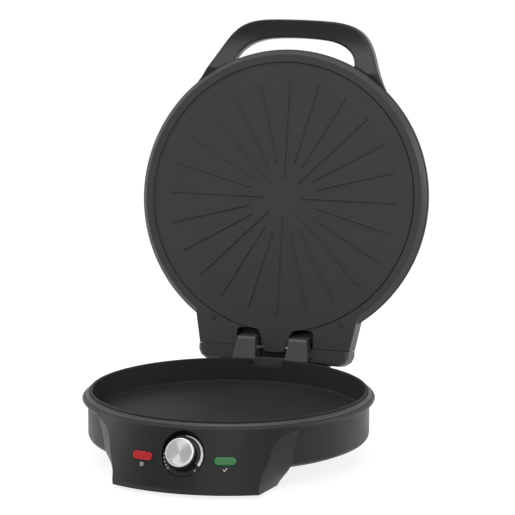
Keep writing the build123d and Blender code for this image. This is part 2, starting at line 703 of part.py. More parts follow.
# Hinge bracket: two lugs on a foot plate, with the pins pressed into the lugs
with BuildPart() as hinge_bracket:
    with BuildSketch(SECTION):
        for side in (-1, 1):
            with BuildLine():
                Polyline(
                    (side * LUG_IN, REAR_TOP),
                    (side * LUG_OUT, REAR_TOP),
                    (side * LUG_OUT, RIM_Z),
                    (side * (LUG_OUT - 3), LUG_TOP),
                    (side * (LUG_IN + 2), LUG_TOP),
                    (side * LUG_IN, RIM_Z),
                    close=True,
                )
            make_face()
    extrude(amount=-LUG_BACK)
    with BuildSketch(SIDE):
        with BuildLine():
            Polyline(
                (LUG_FRONT, REAR_TOP),
                (LUG_FRONT, RIM_Z - 3),
                (LUG_FRONT + 8.4, LUG_TOP - 2),
                (LUG_FRONT + 11, LUG_TOP),
                (HINGE_Y + 7, LUG_TOP),
                (LUG_BACK, HINGE_Z + 8),
                (LUG_BACK, REAR_TOP),
                close=True,
            )
        make_face()
    extrude(amount=LUG_OUT + 1, both=True, mode=Mode.INTERSECT)
    with BuildSketch(level(REAR_TOP)):
        with Locations((0, (LUG_FRONT + LUG_BACK) / 2)):
            Rectangle(2 * LUG_IN + 1, LUG_BACK - LUG_FRONT)
        with Locations(*BRACKET_SCREWS):
            Circle(SCREW_R + GAP, mode=Mode.SUBTRACT)
    extrude(amount=LUG_FOOT)
    with BuildSketch(level(REAR_TOP)):
        with Locations((0, LUG_FRONT + LUG_WEB / 2)):
            Rectangle(2 * LUG_IN + 1, LUG_WEB)
    extrude(amount=RIM_Z - REAR_TOP - 1.2)
    with BuildSketch(level(REAR_TOP)):
        with Locations((0, LUG_BACK - LUG_WEB / 2)):
            Rectangle(2 * LUG_IN + 1, LUG_WEB)
    extrude(amount=HINGE_Z - REAR_TOP + 2.5)
    with BuildSketch(BASE_PIN):
        Circle(PIN_R + RUN_FIT)
    extrude(amount=2 * LUG_OUT, both=True, mode=Mode.SUBTRACT)
save(hinge_bracket, "hinge_bracket")
screws("bracket_screws", [(level(REAR_TOP + LUG_FOOT), BRACKET_SCREWS, 12)])

with BuildPart() as hinge_pins:
    for side in (-1, 1):
        with BuildSketch(BASE_PIN.offset(side * PIN_IN)):
            Circle(PIN_R)
        extrude(amount=side * (PIN_OUT - PIN_IN))
save(hinge_pins, "hinge_pins")


def heating_element(plane, name):
    """Sheathed element bent to an open ring, its two ends turned out to the terminals."""
    middle = plane.offset(TUBE_R + GAP)
    with BuildPart() as element:
        with BuildLine(middle) as path:
            coil = CenterArc((0, 0), COIL_R, 90 + COIL_GAP / 2, 360 - COIL_GAP)
            first = JernArc(coil @ 0, (coil % 0) * -1, COIL_BEND, 90)
            last = JernArc(coil @ 1, coil % 1, COIL_BEND, -90)
            Line(first @ 1, first @ 1 + (first % 1) * COIL_TAIL)
            Line(last @ 1, last @ 1 + (last % 1) * COIL_TAIL)
        ends = [(run @ 1 + (run % 1) * COIL_TAIL, run % 1) for run in (first, last)]
        with BuildSketch(Plane(origin=ends[0][0], z_dir=ends[0][1] * -1)):
            Circle(TUBE_R)
        sweep(path=path.wires()[0])
        for end, way in ends:
            with BuildSketch(Plane(origin=end, z_dir=way)):
                Circle(1.3)
            extrude(amount=7)
    save(element, name)


def element_clips(plane, name):
    """Sheet straps that hold the element against the plate."""
    inner = TUBE_R + GAP
    with BuildPart() as clips:
        with BuildSketch(plane):
            for angle in CLIP_ANGLES:
                turn = radians(angle)
                with Locations(Location((COIL_R * cos(turn), COIL_R * sin(turn), 0), (0, 0, angle))):
                    Rectangle(2 * inner + 2 * SHEET, 9)
        extrude(amount=2 * TUBE_R + 2 * GAP + SHEET)
        with BuildSketch(plane):
            for angle in CLIP_ANGLES:
                turn = radians(angle)
                with Locations(Location((COIL_R * cos(turn), COIL_R * sin(turn), 0), (0, 0, angle))):
                    Rectangle(2 * inner, 12)
        extrude(amount=2 * TUBE_R + 2 * GAP, mode=Mode.SUBTRACT)
    save(clips, name)


def heat_shield(plane, name):
    """Shallow sheet dish over the element, carried by the plate's bosses."""
    with BuildPart() as shield:
        with BuildSketch(plane.offset(BOSS_H)):
            Circle(SHIELD_R)
            with Locations(*PLATE_BOSSES):
                Circle(SCREW_R + GAP, mode=Mode.SUBTRACT)
        extrude(amount=SHEET)
        with BuildSketch(plane.offset(BOSS_H)):
            Circle(SHIELD_R)
            Circle(SHIELD_R - SHEET, mode=Mode.SUBTRACT)
        extrude(amount=-SHIELD_RIM)
    save(shield, name)


def thermal_fuse(plane, name):
    """Thermal cut-out can on the back of a plate, under its strap."""
    with BuildPart() as fuse:
        with BuildSketch(plane):
            Rectangle(16, 9)
        extrude(amount=1)
        with BuildSketch(plane.offset(1)):
            Circle(4.2)
        extrude(amount=5)
    save(fuse, name)


for plane, place in ((PAN_BACK, "lower"), (PLATE_BACK, "upper")):
    heating_element(plane, f"{place}_heating_element")
    element_clips(plane, f"{place}_element_clips")
    heat_shield(plane, f"{place}_heat_shield")
    thermal_fuse(plane, f"{place}_thermal_fuse")
    screws(f"{place}_plate_screws", [(plane.offset(BOSS_H + SHEET), PLATE_BOSSES, 9)])


def wire_sleeve(points, bend, name):
    """Insulating sleeve of one internal wire run."""
    with BuildPart() as sleeve:
        with BuildLine() as path:
            FilletPolyline(*points, radius=bend)
        with BuildSketch(Plane(origin=path.line @ 0, z_dir=path.line % 0)):
            Circle(SLEEVE_R)
        sweep(path=path.wires()[0])
    save(sleeve, name)


wire_sleeve(BASE_RUN, 6, "base_wire_sleeve")
wire_sleeve(SUPPLY_RUN, 5, "supply_wire_sleeve")

# Grill plate in the lid: flat face with raised ribs, skirt, bosses and drip tongue
with BuildPart() as grill_plate:
    with BuildSketch(LID):
        Circle(PLATE_R)
        with BuildLine():
            throat = PLATE_R + 4.4
            swell = sqrt(PLATE_R ** 2 - 30 ** 2)
            ThreePointArc((30, swell), (20.8, PLATE_R - 0.3), (TONGUE_X, throat))
            Line((TONGUE_X, throat), (TONGUE_END_X, TONGUE_END - 1))
            ThreePointArc((TONGUE_END_X, TONGUE_END - 1), (0, TONGUE_END), (-TONGUE_END_X, TONGUE_END - 1))
            Line((-TONGUE_END_X, TONGUE_END - 1), (-TONGUE_X, throat))
            ThreePointArc((-TONGUE_X, throat), (-20.8, PLATE_R - 0.3), (-30, swell))
            Polyline((-30, swell), (-30, PLATE_R - 14), (30, PLATE_R - 14), (30, swell))
        make_face()
    extrude(amount=PLATE_T)
    with BuildSketch(LID):
        Circle(PLATE_R)
        Circle(PLATE_R - 1.3, mode=Mode.SUBTRACT)
        with Locations((0, PLATE_R)):
            Rectangle(2 * TONGUE_X, 20, mode=Mode.SUBTRACT)
    extrude(amount=-0.5)
    with BuildSketch(LID.offset(PLATE_T)):
        Circle(PLATE_R)
        Circle(PLATE_R - 2.2, mode=Mode.SUBTRACT)
        with Locations(*PLATE_BOSSES):
            Circle(BOSS_R)
        with Locations((0, PLATE_R)):
            Rectangle(2 * BRIDGE_X + 8, 32, mode=Mode.SUBTRACT)
    extrude(amount=PLATE_SKIRT - PLATE_T)
    with BuildSketch(LID.offset(PLATE_SKIRT)):
        with Locations(*PLATE_BOSSES):
            Circle(BOSS_R)
    extrude(amount=BOSS_H + PLATE_T - PLATE_SKIRT)
    with BuildSketch(LID.offset(PLATE_T + BOSS_H)):
        with Locations(*PLATE_BOSSES):
            Circle(SCREW_R)
    extrude(amount=-10, mode=Mode.SUBTRACT)
    with BuildSketch(LID):
        for rib in range(RIB_COUNT):
            inner = RIB_LONG_IN if rib % 3 == 0 else RIB_SHORT_IN
            angle = rib * 360 / RIB_COUNT
            turn = radians(angle)
            middle = (RIB_OUT + inner) / 2
            with Locations(Location((middle * cos(turn), middle * sin(turn), 0), (0, 0, angle))):
                SlotOverall(RIB_OUT - inner, RIB_W)
    extrude(amount=-RIB_H, taper=30)
save(grill_plate, "grill_plate")

# Lid frame: bezel round the plate and the hinge housing with its two slots
with BuildPart() as lid_frame:
    with BuildSketch(LID_SECTION):
        with BuildLine():
            Polyline(
                (PLATE_R + SEAM, 0),
                (BEZEL_R, 0),
                (BEZEL_OUT - 1.2, 4.4),
                (BEZEL_OUT, 6.4),
                (BEZEL_OUT, 8),
                (BEZEL_OUT - 2.4, 8),
                (BEZEL_R - 1, 2.4),
                (COLLAR_R, 2.4),
                (COLLAR_R, COLLAR_H),
                (PLATE_R + SEAM, COLLAR_H),
                close=True,
            )
        make_face()
    revolve(axis=LID_AXIS)
    with BuildSketch(LID):
        with BuildLine():
            Polyline(*mirrored(HOUSING_OUTLINE), close=True)
        make_face()
    extrude(amount=HOUSING_T)
    with BuildSketch(LID.offset(-1)):
        Circle(PLATE_R + SEAM)
    extrude(amount=HOUSING_T + 2, mode=Mode.SUBTRACT)
    with BuildSketch(LID.offset(COLLAR_H)):
        Circle(COLLAR_R)
    extrude(amount=HOUSING_T, mode=Mode.SUBTRACT)
    with BuildSketch(LID.offset(2.4)):
        for side in (-1, 1):
            with BuildLine():
                Polyline(
                    (side * (SLOT_OUT + 2.4), HOUSING_TOP - 20),
                    (side * (HOUSING_TOP_X - 2.5), HOUSING_TOP),
                    (side * (HOUSING_X - 2.5), HOUSING_Y - 2.4),
                    (side * (SLOT_OUT + 2.4), HOUSING_Y - 2.4),
                    close=True,
                )
            make_face()
        with Locations((0, HOUSING_Y - 2.4 - 15)):
            Rectangle(2 * (SLOT_IN - 2.4), 30)
        Circle(COLLAR_R, mode=Mode.SUBTRACT)
    extrude(amount=HOUSING_T, mode=Mode.SUBTRACT)
    with BuildSketch(LID.offset(PLATE_T + GAP)):
        with Locations((0, (BRIDGE_Y + SLOT_START) / 2)):
            Rectangle(2 * BRIDGE_X, SLOT_START - BRIDGE_Y)
        with Locations((0, (BRIDGE_Y + COLLAR_R) / 2)):
            Rectangle(2 * SLOT_IN, COLLAR_R - BRIDGE_Y)
    extrude(amount=COLLAR_H - PLATE_T - GAP)
    with BuildSketch(LID.offset(-1)):
        for side in (-1, 1):
            with Locations((side * (SLOT_IN + SLOT_OUT) / 2, SLOT_START + 20)):
                RectangleRounded(SLOT_OUT - SLOT_IN, 40, 5)
    extrude(amount=HOUSING_T + 2, mode=Mode.SUBTRACT)
    with BuildSketch(LID.offset(-1)):
        with Locations((0, SLOT_START - 2.5)):
            Rectangle(62, 20)
        with Locations((0, SLOT_START + 5)):
            Rectangle(2 * SLOT_IN, 60)
    extrude(amount=1 + PLATE_T + GAP, mode=Mode.SUBTRACT)
    with BuildSketch(LID_SECTION.offset(-(HOUSING_Y - 5))):
        for side in (-1, 1):
            with Locations((side * (ARM_X_IN + ARM_X_OUT) / 2, (ARM_H[0] + ARM_H[1]) / 2)):
                Rectangle(ARM_X_OUT - ARM_X_IN + 2 * GAP, ARM_H[1] - ARM_H[0] + 2 * GAP)
    extrude(amount=-10, mode=Mode.SUBTRACT)
    with BuildSketch(LID):
        with Locations(*HINGE_SCREWS):
            Circle(SCREW_R + GAP)
    extrude(amount=3, mode=Mode.SUBTRACT)
    with BuildSketch(LID):
        with Locations(*HINGE_SCREWS):
            Circle(SCREW_HEAD_R + GAP)
    extrude(amount=HINGE_SCREW_SINK, mode=Mode.SUBTRACT)
save(lid_frame, "lid_frame")

# Domed outer shell of the lid, with posts that carry the plate and its shield
with BuildPart() as lid_shell:
    add(lid_envelope(0))
    with BuildSketch(LID_SECTION):
        with BuildLine():
            Polyline(
                (0, crown(0, -WALL)),
                (0, -1),
                (LID_R + 2, -1),
                (LID_R + 2, LID_EDGE_H),
                (LID_R - WALL, LID_EDGE_H),
                (LID_R - WALL, 11),
            )
            inner = CROWN_X - 1
            ThreePointArc((LID_R - WALL, 11), (LID_R - 7.5, 23.8), (inner, crown(inner, -WALL)))
            halfway = (inner / 2, crown(inner / 2, -WALL))
            ThreePointArc((inner, crown(inner, -WALL)), halfway, (0, crown(0, -WALL)))
        make_face()
    revolve(axis=LID_AXIS, mode=Mode.SUBTRACT)
    with BuildSketch(LID):
        with BuildLine():
            Polyline(*mirrored(CLEAR_OUTLINE), close=True)
        make_face()
    extrude(amount=HOUSING_T + HINGE_COVER_T + GAP, mode=Mode.SUBTRACT)
    with BuildSketch(LID.offset(PLATE_T + BOSS_H + SHEET)):
        with Locations(*SHELL_POSTS):
            Circle(POST_R)
    extrude(amount=crown(60, -WALL) - PLATE_T - BOSS_H - SHEET + 0.5)
save(lid_shell, "lid_shell")

# Back cover of the hinge housing
with BuildPart() as hinge_cover:
    with BuildSketch(LID.offset(HOUSING_T)):
        with BuildLine():
            Polyline(*mirrored(HOUSING_OUTLINE), close=True)
        make_face()
        Circle(COLLAR_R + GAP, mode=Mode.SUBTRACT)
    extrude(amount=HINGE_COVER_T)
    chamfer(hinge_cover.edges().group_by(Axis(LID.origin, LID.z_dir))[-1].filter_by(Axis.X), 1)
save(hinge_cover, "hinge_cover")

# Hinge blocks at the foot of the lid, with arms into the housing and bushed bores
with BuildPart() as hinge_blocks:
    for side in (-1, 1):
        with BuildSketch(LID.offset(-BLOCK_FRONT)):
            with BuildLine():
                Polyline(
                    (side * BLOCK_IN, HOUSING_Y + 0.4),
                    (side * HOUSING_X, HOUSING_Y + 0.4),
                    (side * HOUSING_X, BLOCK_END - 11),
                    (side * (HOUSING_X - 3), BLOCK_END - 4.5),
                    (side * (HOUSING_X - 10), BLOCK_END),
                    (side * BLOCK_IN, BLOCK_END),
                    close=True,
                )
            make_face()
        extrude(amount=BLOCK_FRONT + HOUSING_T + HINGE_COVER_T)
    front = hinge_blocks.edges().group_by(LID_AXIS)[0]
    chamfer(front.filter_by(lambda e: abs((e.center() - LID.origin).dot(LID.y_dir) - HOUSING_Y) > 1
                            and abs(abs(e.center().X) - BLOCK_IN) > 0.5), 3)
    with BuildSketch(LID.offset(ARM_H[0])):
        for side in (-1, 1):
            with BuildLine():
                Polyline(
                    (side * ARM_X_IN, HOUSING_Y + 1),
                    (side * ARM_X_OUT, HOUSING_Y + 1),
                    (side * ARM_X_OUT, HINGE_SCREW[1] - 4.5),
                    (side * (ARM_X_IN + 3), HINGE_SCREW[1] - 4.5),
                    (side * ARM_X_IN, HINGE_SCREW[1] + 4),
                    close=True,
                )
            make_face()
        Circle(COLLAR_R + GAP, mode=Mode.SUBTRACT)
        with Locations(*HINGE_SCREWS):
            Circle(SCREW_R, mode=Mode.SUBTRACT)
    extrude(amount=ARM_H[1] - ARM_H[0])
    with BuildSketch(LID_PIN):
        Circle(BUSH_R + RUN_FIT)
    extrude(amount=BUSH_OUT, both=True, mode=Mode.SUBTRACT)
save(hinge_blocks, "hinge_blocks")

with BuildPart() as hinge_bushes:
    for side in (-1, 1):
        with BuildSketch(LID_PIN.offset(side * (BLOCK_IN + GAP))):
            Circle(BUSH_R)
            Circle(PIN_R + RUN_FIT, mode=Mode.SUBTRACT)
        extrude(amount=side * (BUSH_OUT - BLOCK_IN - 2 * GAP))
save(hinge_bushes, "hinge_bushes")
sunk = LID.from_local_coords(Vector(0, 0, HINGE_SCREW_SINK))
hinge_screw_plane = Plane(sunk, x_dir=LID.x_dir, z_dir=LID.z_dir * -1)
screws("hinge_screws", [(hinge_screw_plane, [(x, -y) for x, y in HINGE_SCREWS], 9)])
wire_sleeve([LID.from_local_coords(Vector(*point)) for point in LID_RUN], 5, "lid_wire_sleeve")


def handle_solid(low, high):
    """Slice of the handle loop between two depths from its middle surface."""
    with BuildPart() as loop:
        with BuildSketch(LID):
            with BuildLine():
                right = [(x, -reach) for x, reach in HANDLE_OUT]
                left = [(-x, y) for x, y in reversed(right)][1:]
                Spline(*right, *left)
                Line(left[-1], right[0])
            make_face()
            with BuildLine():
                right = [(x, -reach) for x, reach in HANDLE_IN]
                left = [(-x, y) for x, y in reversed(right)][1:]
                Spline(*right, *left)
                Polyline(left[-1], (-HANDLE_IN[0][0], -100), (HANDLE_IN[0][0], -100), right[0])
            make_face(mode=Mode.SUBTRACT)
        extrude(amount=70)
        with BuildSketch(LID_SIDE):
            with BuildLine():
                front = [(-reach, rise + low) for reach, rise in HANDLE_RISE]
                back = [(-reach, rise + high) for reach, rise in reversed(HANDLE_RISE)]
                Spline(*front)
                Line(front[-1], back[0])
                Spline(*back)
                Line(back[-1], front[0])
            make_face()
        extrude(amount=LID_R, both=True, mode=Mode.INTERSECT)
        with BuildSketch(LID.offset(8 + GAP)):
            Rectangle(500, 500)
        extrude(amount=80, mode=Mode.INTERSECT)
    return loop.part


def handle_half(low, high, name):
    """One moulded half of the handle, ending on the lid's stubs."""
    with BuildPart() as half:
        add(handle_solid(low, high))
        with BuildSketch(LID):
            Circle(LID_R + HANDLE_ROOT + GAP)
        extrude(amount=80, mode=Mode.SUBTRACT)
        add(lid_envelope(GAP), mode=Mode.SUBTRACT)
    save(half, name)


handle_half(-HANDLE_T / 2, HANDLE_SPLIT - HANDLE_SEAM / 2, "handle_front")
handle_half(HANDLE_SPLIT + HANDLE_SEAM / 2, HANDLE_T / 2, "handle_back")

with BuildPart() as handle_roots:
    add(handle_solid(-HANDLE_T / 2, HANDLE_T / 2))
    with BuildSketch(LID):
        Circle(LID_R + HANDLE_ROOT)
    extrude(amount=80, mode=Mode.INTERSECT)
    add(lid_envelope(0), mode=Mode.SUBTRACT)
save(handle_roots, "handle_roots")
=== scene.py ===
"""Dress the electric pizza maker: its finishes, rounded handle, spun knob cap, printed marks and studio.

Everything stands in the CAD model's own frame: metres, +Z up and -Y the front with the control panel. Sizes
whose names end in mm, those of the prints and those of the knob's cap are in millimetres.
"""
import json
import logging
import math
from dataclasses import dataclass, field
from enum import Enum
from typing import Callable, Sequence

import bmesh
import bpy
from mathutils import Matrix, Vector
from mathutils.bvhtree import BVHTree


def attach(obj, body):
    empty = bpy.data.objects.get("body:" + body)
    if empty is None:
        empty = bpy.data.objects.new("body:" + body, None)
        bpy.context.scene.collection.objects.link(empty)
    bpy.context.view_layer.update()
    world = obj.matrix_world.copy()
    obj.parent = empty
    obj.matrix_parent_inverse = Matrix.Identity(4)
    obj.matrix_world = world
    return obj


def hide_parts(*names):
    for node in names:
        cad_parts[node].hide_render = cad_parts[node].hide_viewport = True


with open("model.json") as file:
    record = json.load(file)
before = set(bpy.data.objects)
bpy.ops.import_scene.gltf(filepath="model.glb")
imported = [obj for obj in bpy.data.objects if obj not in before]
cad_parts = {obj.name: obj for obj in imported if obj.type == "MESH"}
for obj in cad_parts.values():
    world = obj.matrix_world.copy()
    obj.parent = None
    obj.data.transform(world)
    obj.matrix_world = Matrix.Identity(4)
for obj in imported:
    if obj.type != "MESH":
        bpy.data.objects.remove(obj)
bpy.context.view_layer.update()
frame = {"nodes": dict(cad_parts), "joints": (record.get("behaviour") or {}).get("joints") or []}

MM = 0.001
WHITE = (1.0, 1.0, 1.0, 1.0)
MIDDLE = (0.0, 0.0)
log = logging.getLogger("pizza_maker")

Point = tuple[float, float]
Placing = Callable[[float, float, float], Vector]
Tree = bpy.types.NodeTree
Socket = bpy.types.NodeSocket


class Body(Enum):
    """Moving bodies of the cooker."""

    BASE = "base"
    KNOB = "knob"
    LID = "lid"


class Slot(Enum):
    """Material slots of the record that new pieces take their finish from."""

    HANDLE = "black_handle"
    KNOB_CAP = "knob_silver"
    DIAL = "dial"
    CASING = "black_casing"


def linear(code: str) -> tuple[float, float, float, float]:
    """Turn an sRGB hex colour into linear RGBA.

    Args:
        code: The colour as "#rrggbb".

    Returns:
        Linear red, green, blue and an alpha of one.
    """
    parts = [int(code[at:at + 2], 16) / 255 for at in (1, 3, 5)]
    red, green, blue = (c / 12.92 if c <= 0.04045 else ((c + 0.055) / 1.055) ** 2.4 for c in parts)
    return red, green, blue, 1.0


def scaled(colour: Sequence[float], factor: float) -> tuple[float, float, float, float]:
    """Make a linear colour darker or lighter.

    Args:
        colour: Linear RGBA.
        factor: What its brightness is multiplied by.

    Returns:
        The new linear RGBA.
    """
    return colour[0] * factor, colour[1] * factor, colour[2] * factor, 1.0


def around(centre: Point, radius: float, turn: float) -> Point:
    """Point at a radius and an angle in radians round a centre."""
    return centre[0] + radius * math.cos(turn), centre[1] + radius * math.sin(turn)


def pitch(size_mm: float) -> float:
    """Texture scale that repeats a pattern at a size in millimetres."""
    return 1 / (size_mm * MM)


def fresh_tree(owner: bpy.types.Material | bpy.types.World) -> Tree:
    """Switch a material or a world to nodes.

    Args:
        owner: The material or the world.

    Returns:
        Its node tree, empty.
    """
    owner.use_nodes = True
    owner.node_tree.nodes.clear()
    return owner.node_tree


def add_node(tree: Tree, kind: str, feeds: dict | None = None, **settings) -> bpy.types.Node:
    """Add a shader node with its settings, values and links.

    Args:
        tree: The node tree it goes in.
        kind: The node's Blender type name.
        feeds: Input name or number, to a constant or to the output socket that feeds it.
        **settings: Properties of the node itself.

    Returns:
        The new node.
    """
    made = tree.nodes.new(kind)
    for name, value in settings.items():
        setattr(made, name, value)
    for key, value in (feeds or {}).items():
        if isinstance(value, Socket):
            tree.links.new(value, made.inputs[key])
        else:
            made.inputs[key].default_value = value
    return made


@dataclass(frozen=True)
class Finish:
    """A surface as it comes from its process; the classes below give it their own texture.

    Attributes:
        name: Real material and process.
        colour: sRGB hex of a clean area.
        roughness: Mean roughness.
        metallic: One for bare metal.
        ior: Index of refraction; metals keep the default.
        specular: Strength of the plain reflection.
        cloud_mm: Size of the slow changes of tone and gloss.
        cloud: Share by which the tone changes.
        smudge: How far roughness strays from its mean.
        edge_mm: Rounding that an edge shows.
        wear: How far edges have been rubbed towards the worn colour.
        worn: sRGB hex of a rubbed edge.
        grain_mm: Size of the surface's own texture.
        depth_mm: Depth of that texture.
    """

    name: str
    colour: str
    roughness: float
    metallic: float = 0.0
    ior: float = 1.5
    specular: float = 0.5
    cloud_mm: float = 45.0
    cloud: float = 0.10
    smudge: float = 0.05
    edge_mm: float = 0.5
    wear: float = 0.25
    worn: str = "#4a4a4b"
    grain_mm: float = 1.1
    depth_mm: float = 0.02

    def make(self) -> bpy.types.Material:
        """Build the material.

        Returns:
            A node material named after the finish.
        """
        material = bpy.data.materials.new(self.name)
        tree = fresh_tree(material)
        place = add_node(tree, "ShaderNodeTexCoord").outputs["Object"]
        bevel = add_node(tree, "ShaderNodeBevel", {"Radius": self.edge_mm * MM}, samples=4)
        rounded = bevel.outputs["Normal"]
        cloud = add_node(tree, "ShaderNodeTexNoise",
                         {"Vector": place, "Scale": pitch(self.cloud_mm), "Detail": 4.0, "Roughness": 0.55})
        feeds = {
            "Base Color": self.rubbed(tree, self.tone(tree, place, cloud.outputs["Fac"]), rounded),
            "Metallic": self.metallic,
            "Roughness": self.gloss(tree, cloud.outputs["Fac"]),
            "Specular IOR Level": self.specular,
            "Normal": self.relief(tree, self.height(tree, place), rounded),
        }
        if not self.metallic:
            feeds["IOR"] = self.ior
        shader = add_node(tree, "ShaderNodeBsdfPrincipled", feeds)
        self.extra(tree, shader)
        add_node(tree, "ShaderNodeOutputMaterial", {"Surface": shader.outputs["BSDF"]})
        return material

    def tone(self, tree: Tree, place: Socket, cloud: Socket) -> Socket:
        """Colour with slow changes of tone.

        Args:
            tree: The material's nodes.
            place: Object coordinates.
            cloud: Slow noise from nought to one.

        Returns:
            The colour's output socket.
        """
        base = linear(self.colour)
        mix = add_node(tree, "ShaderNodeMix",
                       {0: cloud, 6: scaled(base, 1 - self.cloud), 7: scaled(base, 1 + self.cloud)},
                       data_type="RGBA")
        return mix.outputs[2]

    def gloss(self, tree: Tree, cloud: Socket) -> Socket:
        """Roughness that strays a little, as handled surfaces do.

        Args:
            tree: The material's nodes.
            cloud: Slow noise from nought to one.

        Returns:
            The roughness output socket.
        """
        spread = add_node(tree, "ShaderNodeMapRange",
                          {"Value": cloud, "From Min": 0.3, "From Max": 0.7,
                           "To Min": self.roughness - self.smudge, "To Max": self.roughness + self.smudge})
        return spread.outputs["Result"]

    def rubbed(self, tree: Tree, colour: Socket, rounded: Socket) -> Socket:
        """Lighter colour along rubbed edges, which are where the rounded normal strays from the plain one.

        Args:
            tree: The material's nodes.
            colour: Colour of the clean surface.
            rounded: Normal with rounded edges.

        Returns:
            The colour's output socket.
        """
        sharp, flat = 0.80, 0.995
        plain = add_node(tree, "ShaderNodeNewGeometry").outputs["Normal"]
        turn = add_node(tree, "ShaderNodeVectorMath", {0: rounded, 1: plain}, operation="DOT_PRODUCT")
        edge = add_node(tree, "ShaderNodeMapRange",
                        {"Value": turn.outputs["Value"], "From Min": sharp, "From Max": flat,
                         "To Min": self.wear, "To Max": 0.0})
        mix = add_node(tree, "ShaderNodeMix", {0: edge.outputs["Result"], 6: colour, 7: linear(self.worn)},
                       data_type="RGBA")
        return mix.outputs[2]

    def height(self, tree: Tree, place: Socket) -> Socket:
        """Fine pebble texture of a moulded or cast skin.

        Args:
            tree: The material's nodes.
            place: Object coordinates.

        Returns:
            The height's output socket.
        """
        grain = add_node(tree, "ShaderNodeTexNoise",
                         {"Vector": place, "Scale": pitch(self.grain_mm), "Detail": 2.0, "Roughness": 0.6})
        return grain.outputs["Fac"]

    def relief(self, tree: Tree, height: Socket, rounded: Socket) -> Socket:
        """Turn a height into a normal at this finish's depth."""
        feeds = {"Strength": 1.0, "Distance": self.depth_mm * MM, "Height": height, "Normal": rounded}
        return add_node(tree, "ShaderNodeBump", feeds).outputs["Normal"]

    def extra(self, tree: Tree, shader: bpy.types.Node) -> None:
        """Add what only one finish has; most add nothing."""


@dataclass(frozen=True)
class SprayedCoat(Finish):
    """Non-stick coat sprayed on aluminium: a soft satin film with orange peel and fine mica flecks.

    Attributes:
        fleck_mm: Spacing of the flecks, drawn several times too coarse, because real ones are 0.1 mm.
        fleck: How much lighter a fleck is.
    """

    fleck_mm: float = 1.4
    fleck: float = 1.35

    def tone(self, tree: Tree, place: Socket, cloud: Socket) -> Socket:
        """Film colour with scattered flecks.

        Args:
            tree: The material's nodes.
            place: Object coordinates.
            cloud: Slow noise from nought to one.

        Returns:
            The colour's output socket.
        """
        core, edge = 0.12, 0.3
        film = super().tone(tree, place, cloud)
        cells = add_node(tree, "ShaderNodeTexVoronoi", {"Vector": place, "Scale": pitch(self.fleck_mm)})
        near = add_node(tree, "ShaderNodeMapRange",
                        {"Value": cells.outputs["Distance"], "From Min": core, "From Max": edge,
                         "To Min": 1.0, "To Max": 0.0})
        mix = add_node(tree, "ShaderNodeMix",
                       {0: near.outputs["Result"], 6: film, 7: scaled(linear(self.colour), self.fleck)},
                       data_type="RGBA")
        return mix.outputs[2]


@dataclass(frozen=True)
class SpunMetal(Finish):
    """Aluminium turned on a lathe: fine rings round the axis, which fan its highlight out from the centre.

    Attributes:
        stretch: How far the highlight is drawn out across the rings.
    """

    stretch: float = 0.75

    def height(self, tree: Tree, place: Socket) -> Socket:
        """Rings of the turning tool.

        Args:
            tree: The material's nodes.
            place: Object coordinates, Z along the axis.

        Returns:
            The height's output socket.
        """
        flat = add_node(tree, "ShaderNodeVectorMath", {0: place, 1: (1.0, 1.0, 0.0)}, operation="MULTIPLY")
        reach = add_node(tree, "ShaderNodeVectorMath", {0: flat.outputs["Vector"]}, operation="LENGTH")
        ring = add_node(tree, "ShaderNodeTexNoise",
                        {"W": reach.outputs["Value"], "Scale": pitch(self.grain_mm), "Detail": 3.0},
                        noise_dimensions="1D")
        return ring.outputs["Fac"]

    def extra(self, tree: Tree, shader: bpy.types.Node) -> None:
        """Stretch the highlight round the axis.

        Args:
            tree: The material's nodes.
            shader: The principled shader.
        """
        shader.inputs["Anisotropic"].default_value = self.stretch
        tangent = add_node(tree, "ShaderNodeTangent", direction_type="RADIAL", axis="Z")
        tree.links.new(tangent.outputs["Tangent"], shader.inputs["Tangent"])


@dataclass(frozen=True)
class DrawnMetal(Finish):
    """Ground, rolled or drawn metal: long fine lines along one direction.

    Attributes:
        along: Direction of the lines.
        run: How many times longer than wide a line is.
    """

    along: tuple[float, float, float] = (1.0, 0.0, 0.0)
    run: float = 18.0

    def height(self, tree: Tree, place: Socket) -> Socket:
        """Lines of the grinding or rolling.

        Args:
            tree: The material's nodes.
            place: Object coordinates.

        Returns:
            The height's output socket.
        """
        thin = tuple(1 / self.run if way else 1.0 for way in self.along)
        drawn = add_node(tree, "ShaderNodeMapping", {"Vector": place, "Scale": thin})
        lines = add_node(tree, "ShaderNodeTexNoise",
                         {"Vector": drawn.outputs["Vector"], "Scale": pitch(self.grain_mm), "Detail": 3.0})
        return lines.outputs["Fac"]


@dataclass(frozen=True)
class TintedLens(Finish):
    """Moulded acrylic lens: clear colour with light inside it, a polished face and fine prisms behind.

    Attributes:
        glow: Share of light that passes through the plastic.
        scatter_mm: How far that light spreads in it.
    """

    glow: float = 0.2
    scatter_mm: float = 2.5

    def height(self, tree: Tree, place: Socket) -> Socket:
        """Upright prisms moulded behind the face.

        Args:
            tree: The material's nodes.
            place: Object coordinates.

        Returns:
            The height's output socket.
        """
        prisms = add_node(tree, "ShaderNodeTexWave",
                          {"Vector": place, "Scale": pitch(2 * math.pi * self.grain_mm), "Distortion": 0.0},
                          bands_direction="X")
        return prisms.outputs["Fac"]

    def extra(self, tree: Tree, shader: bpy.types.Node) -> None:
        """Let light into the plastic.

        Args:
            tree: The material's nodes.
            shader: The principled shader.
        """
        shader.inputs["Subsurface Weight"].default_value = self.glow
        shader.inputs["Subsurface Radius"].default_value = (1.0, 1.0, 1.0)
        shader.inputs["Subsurface Scale"].default_value = self.scatter_mm * MM


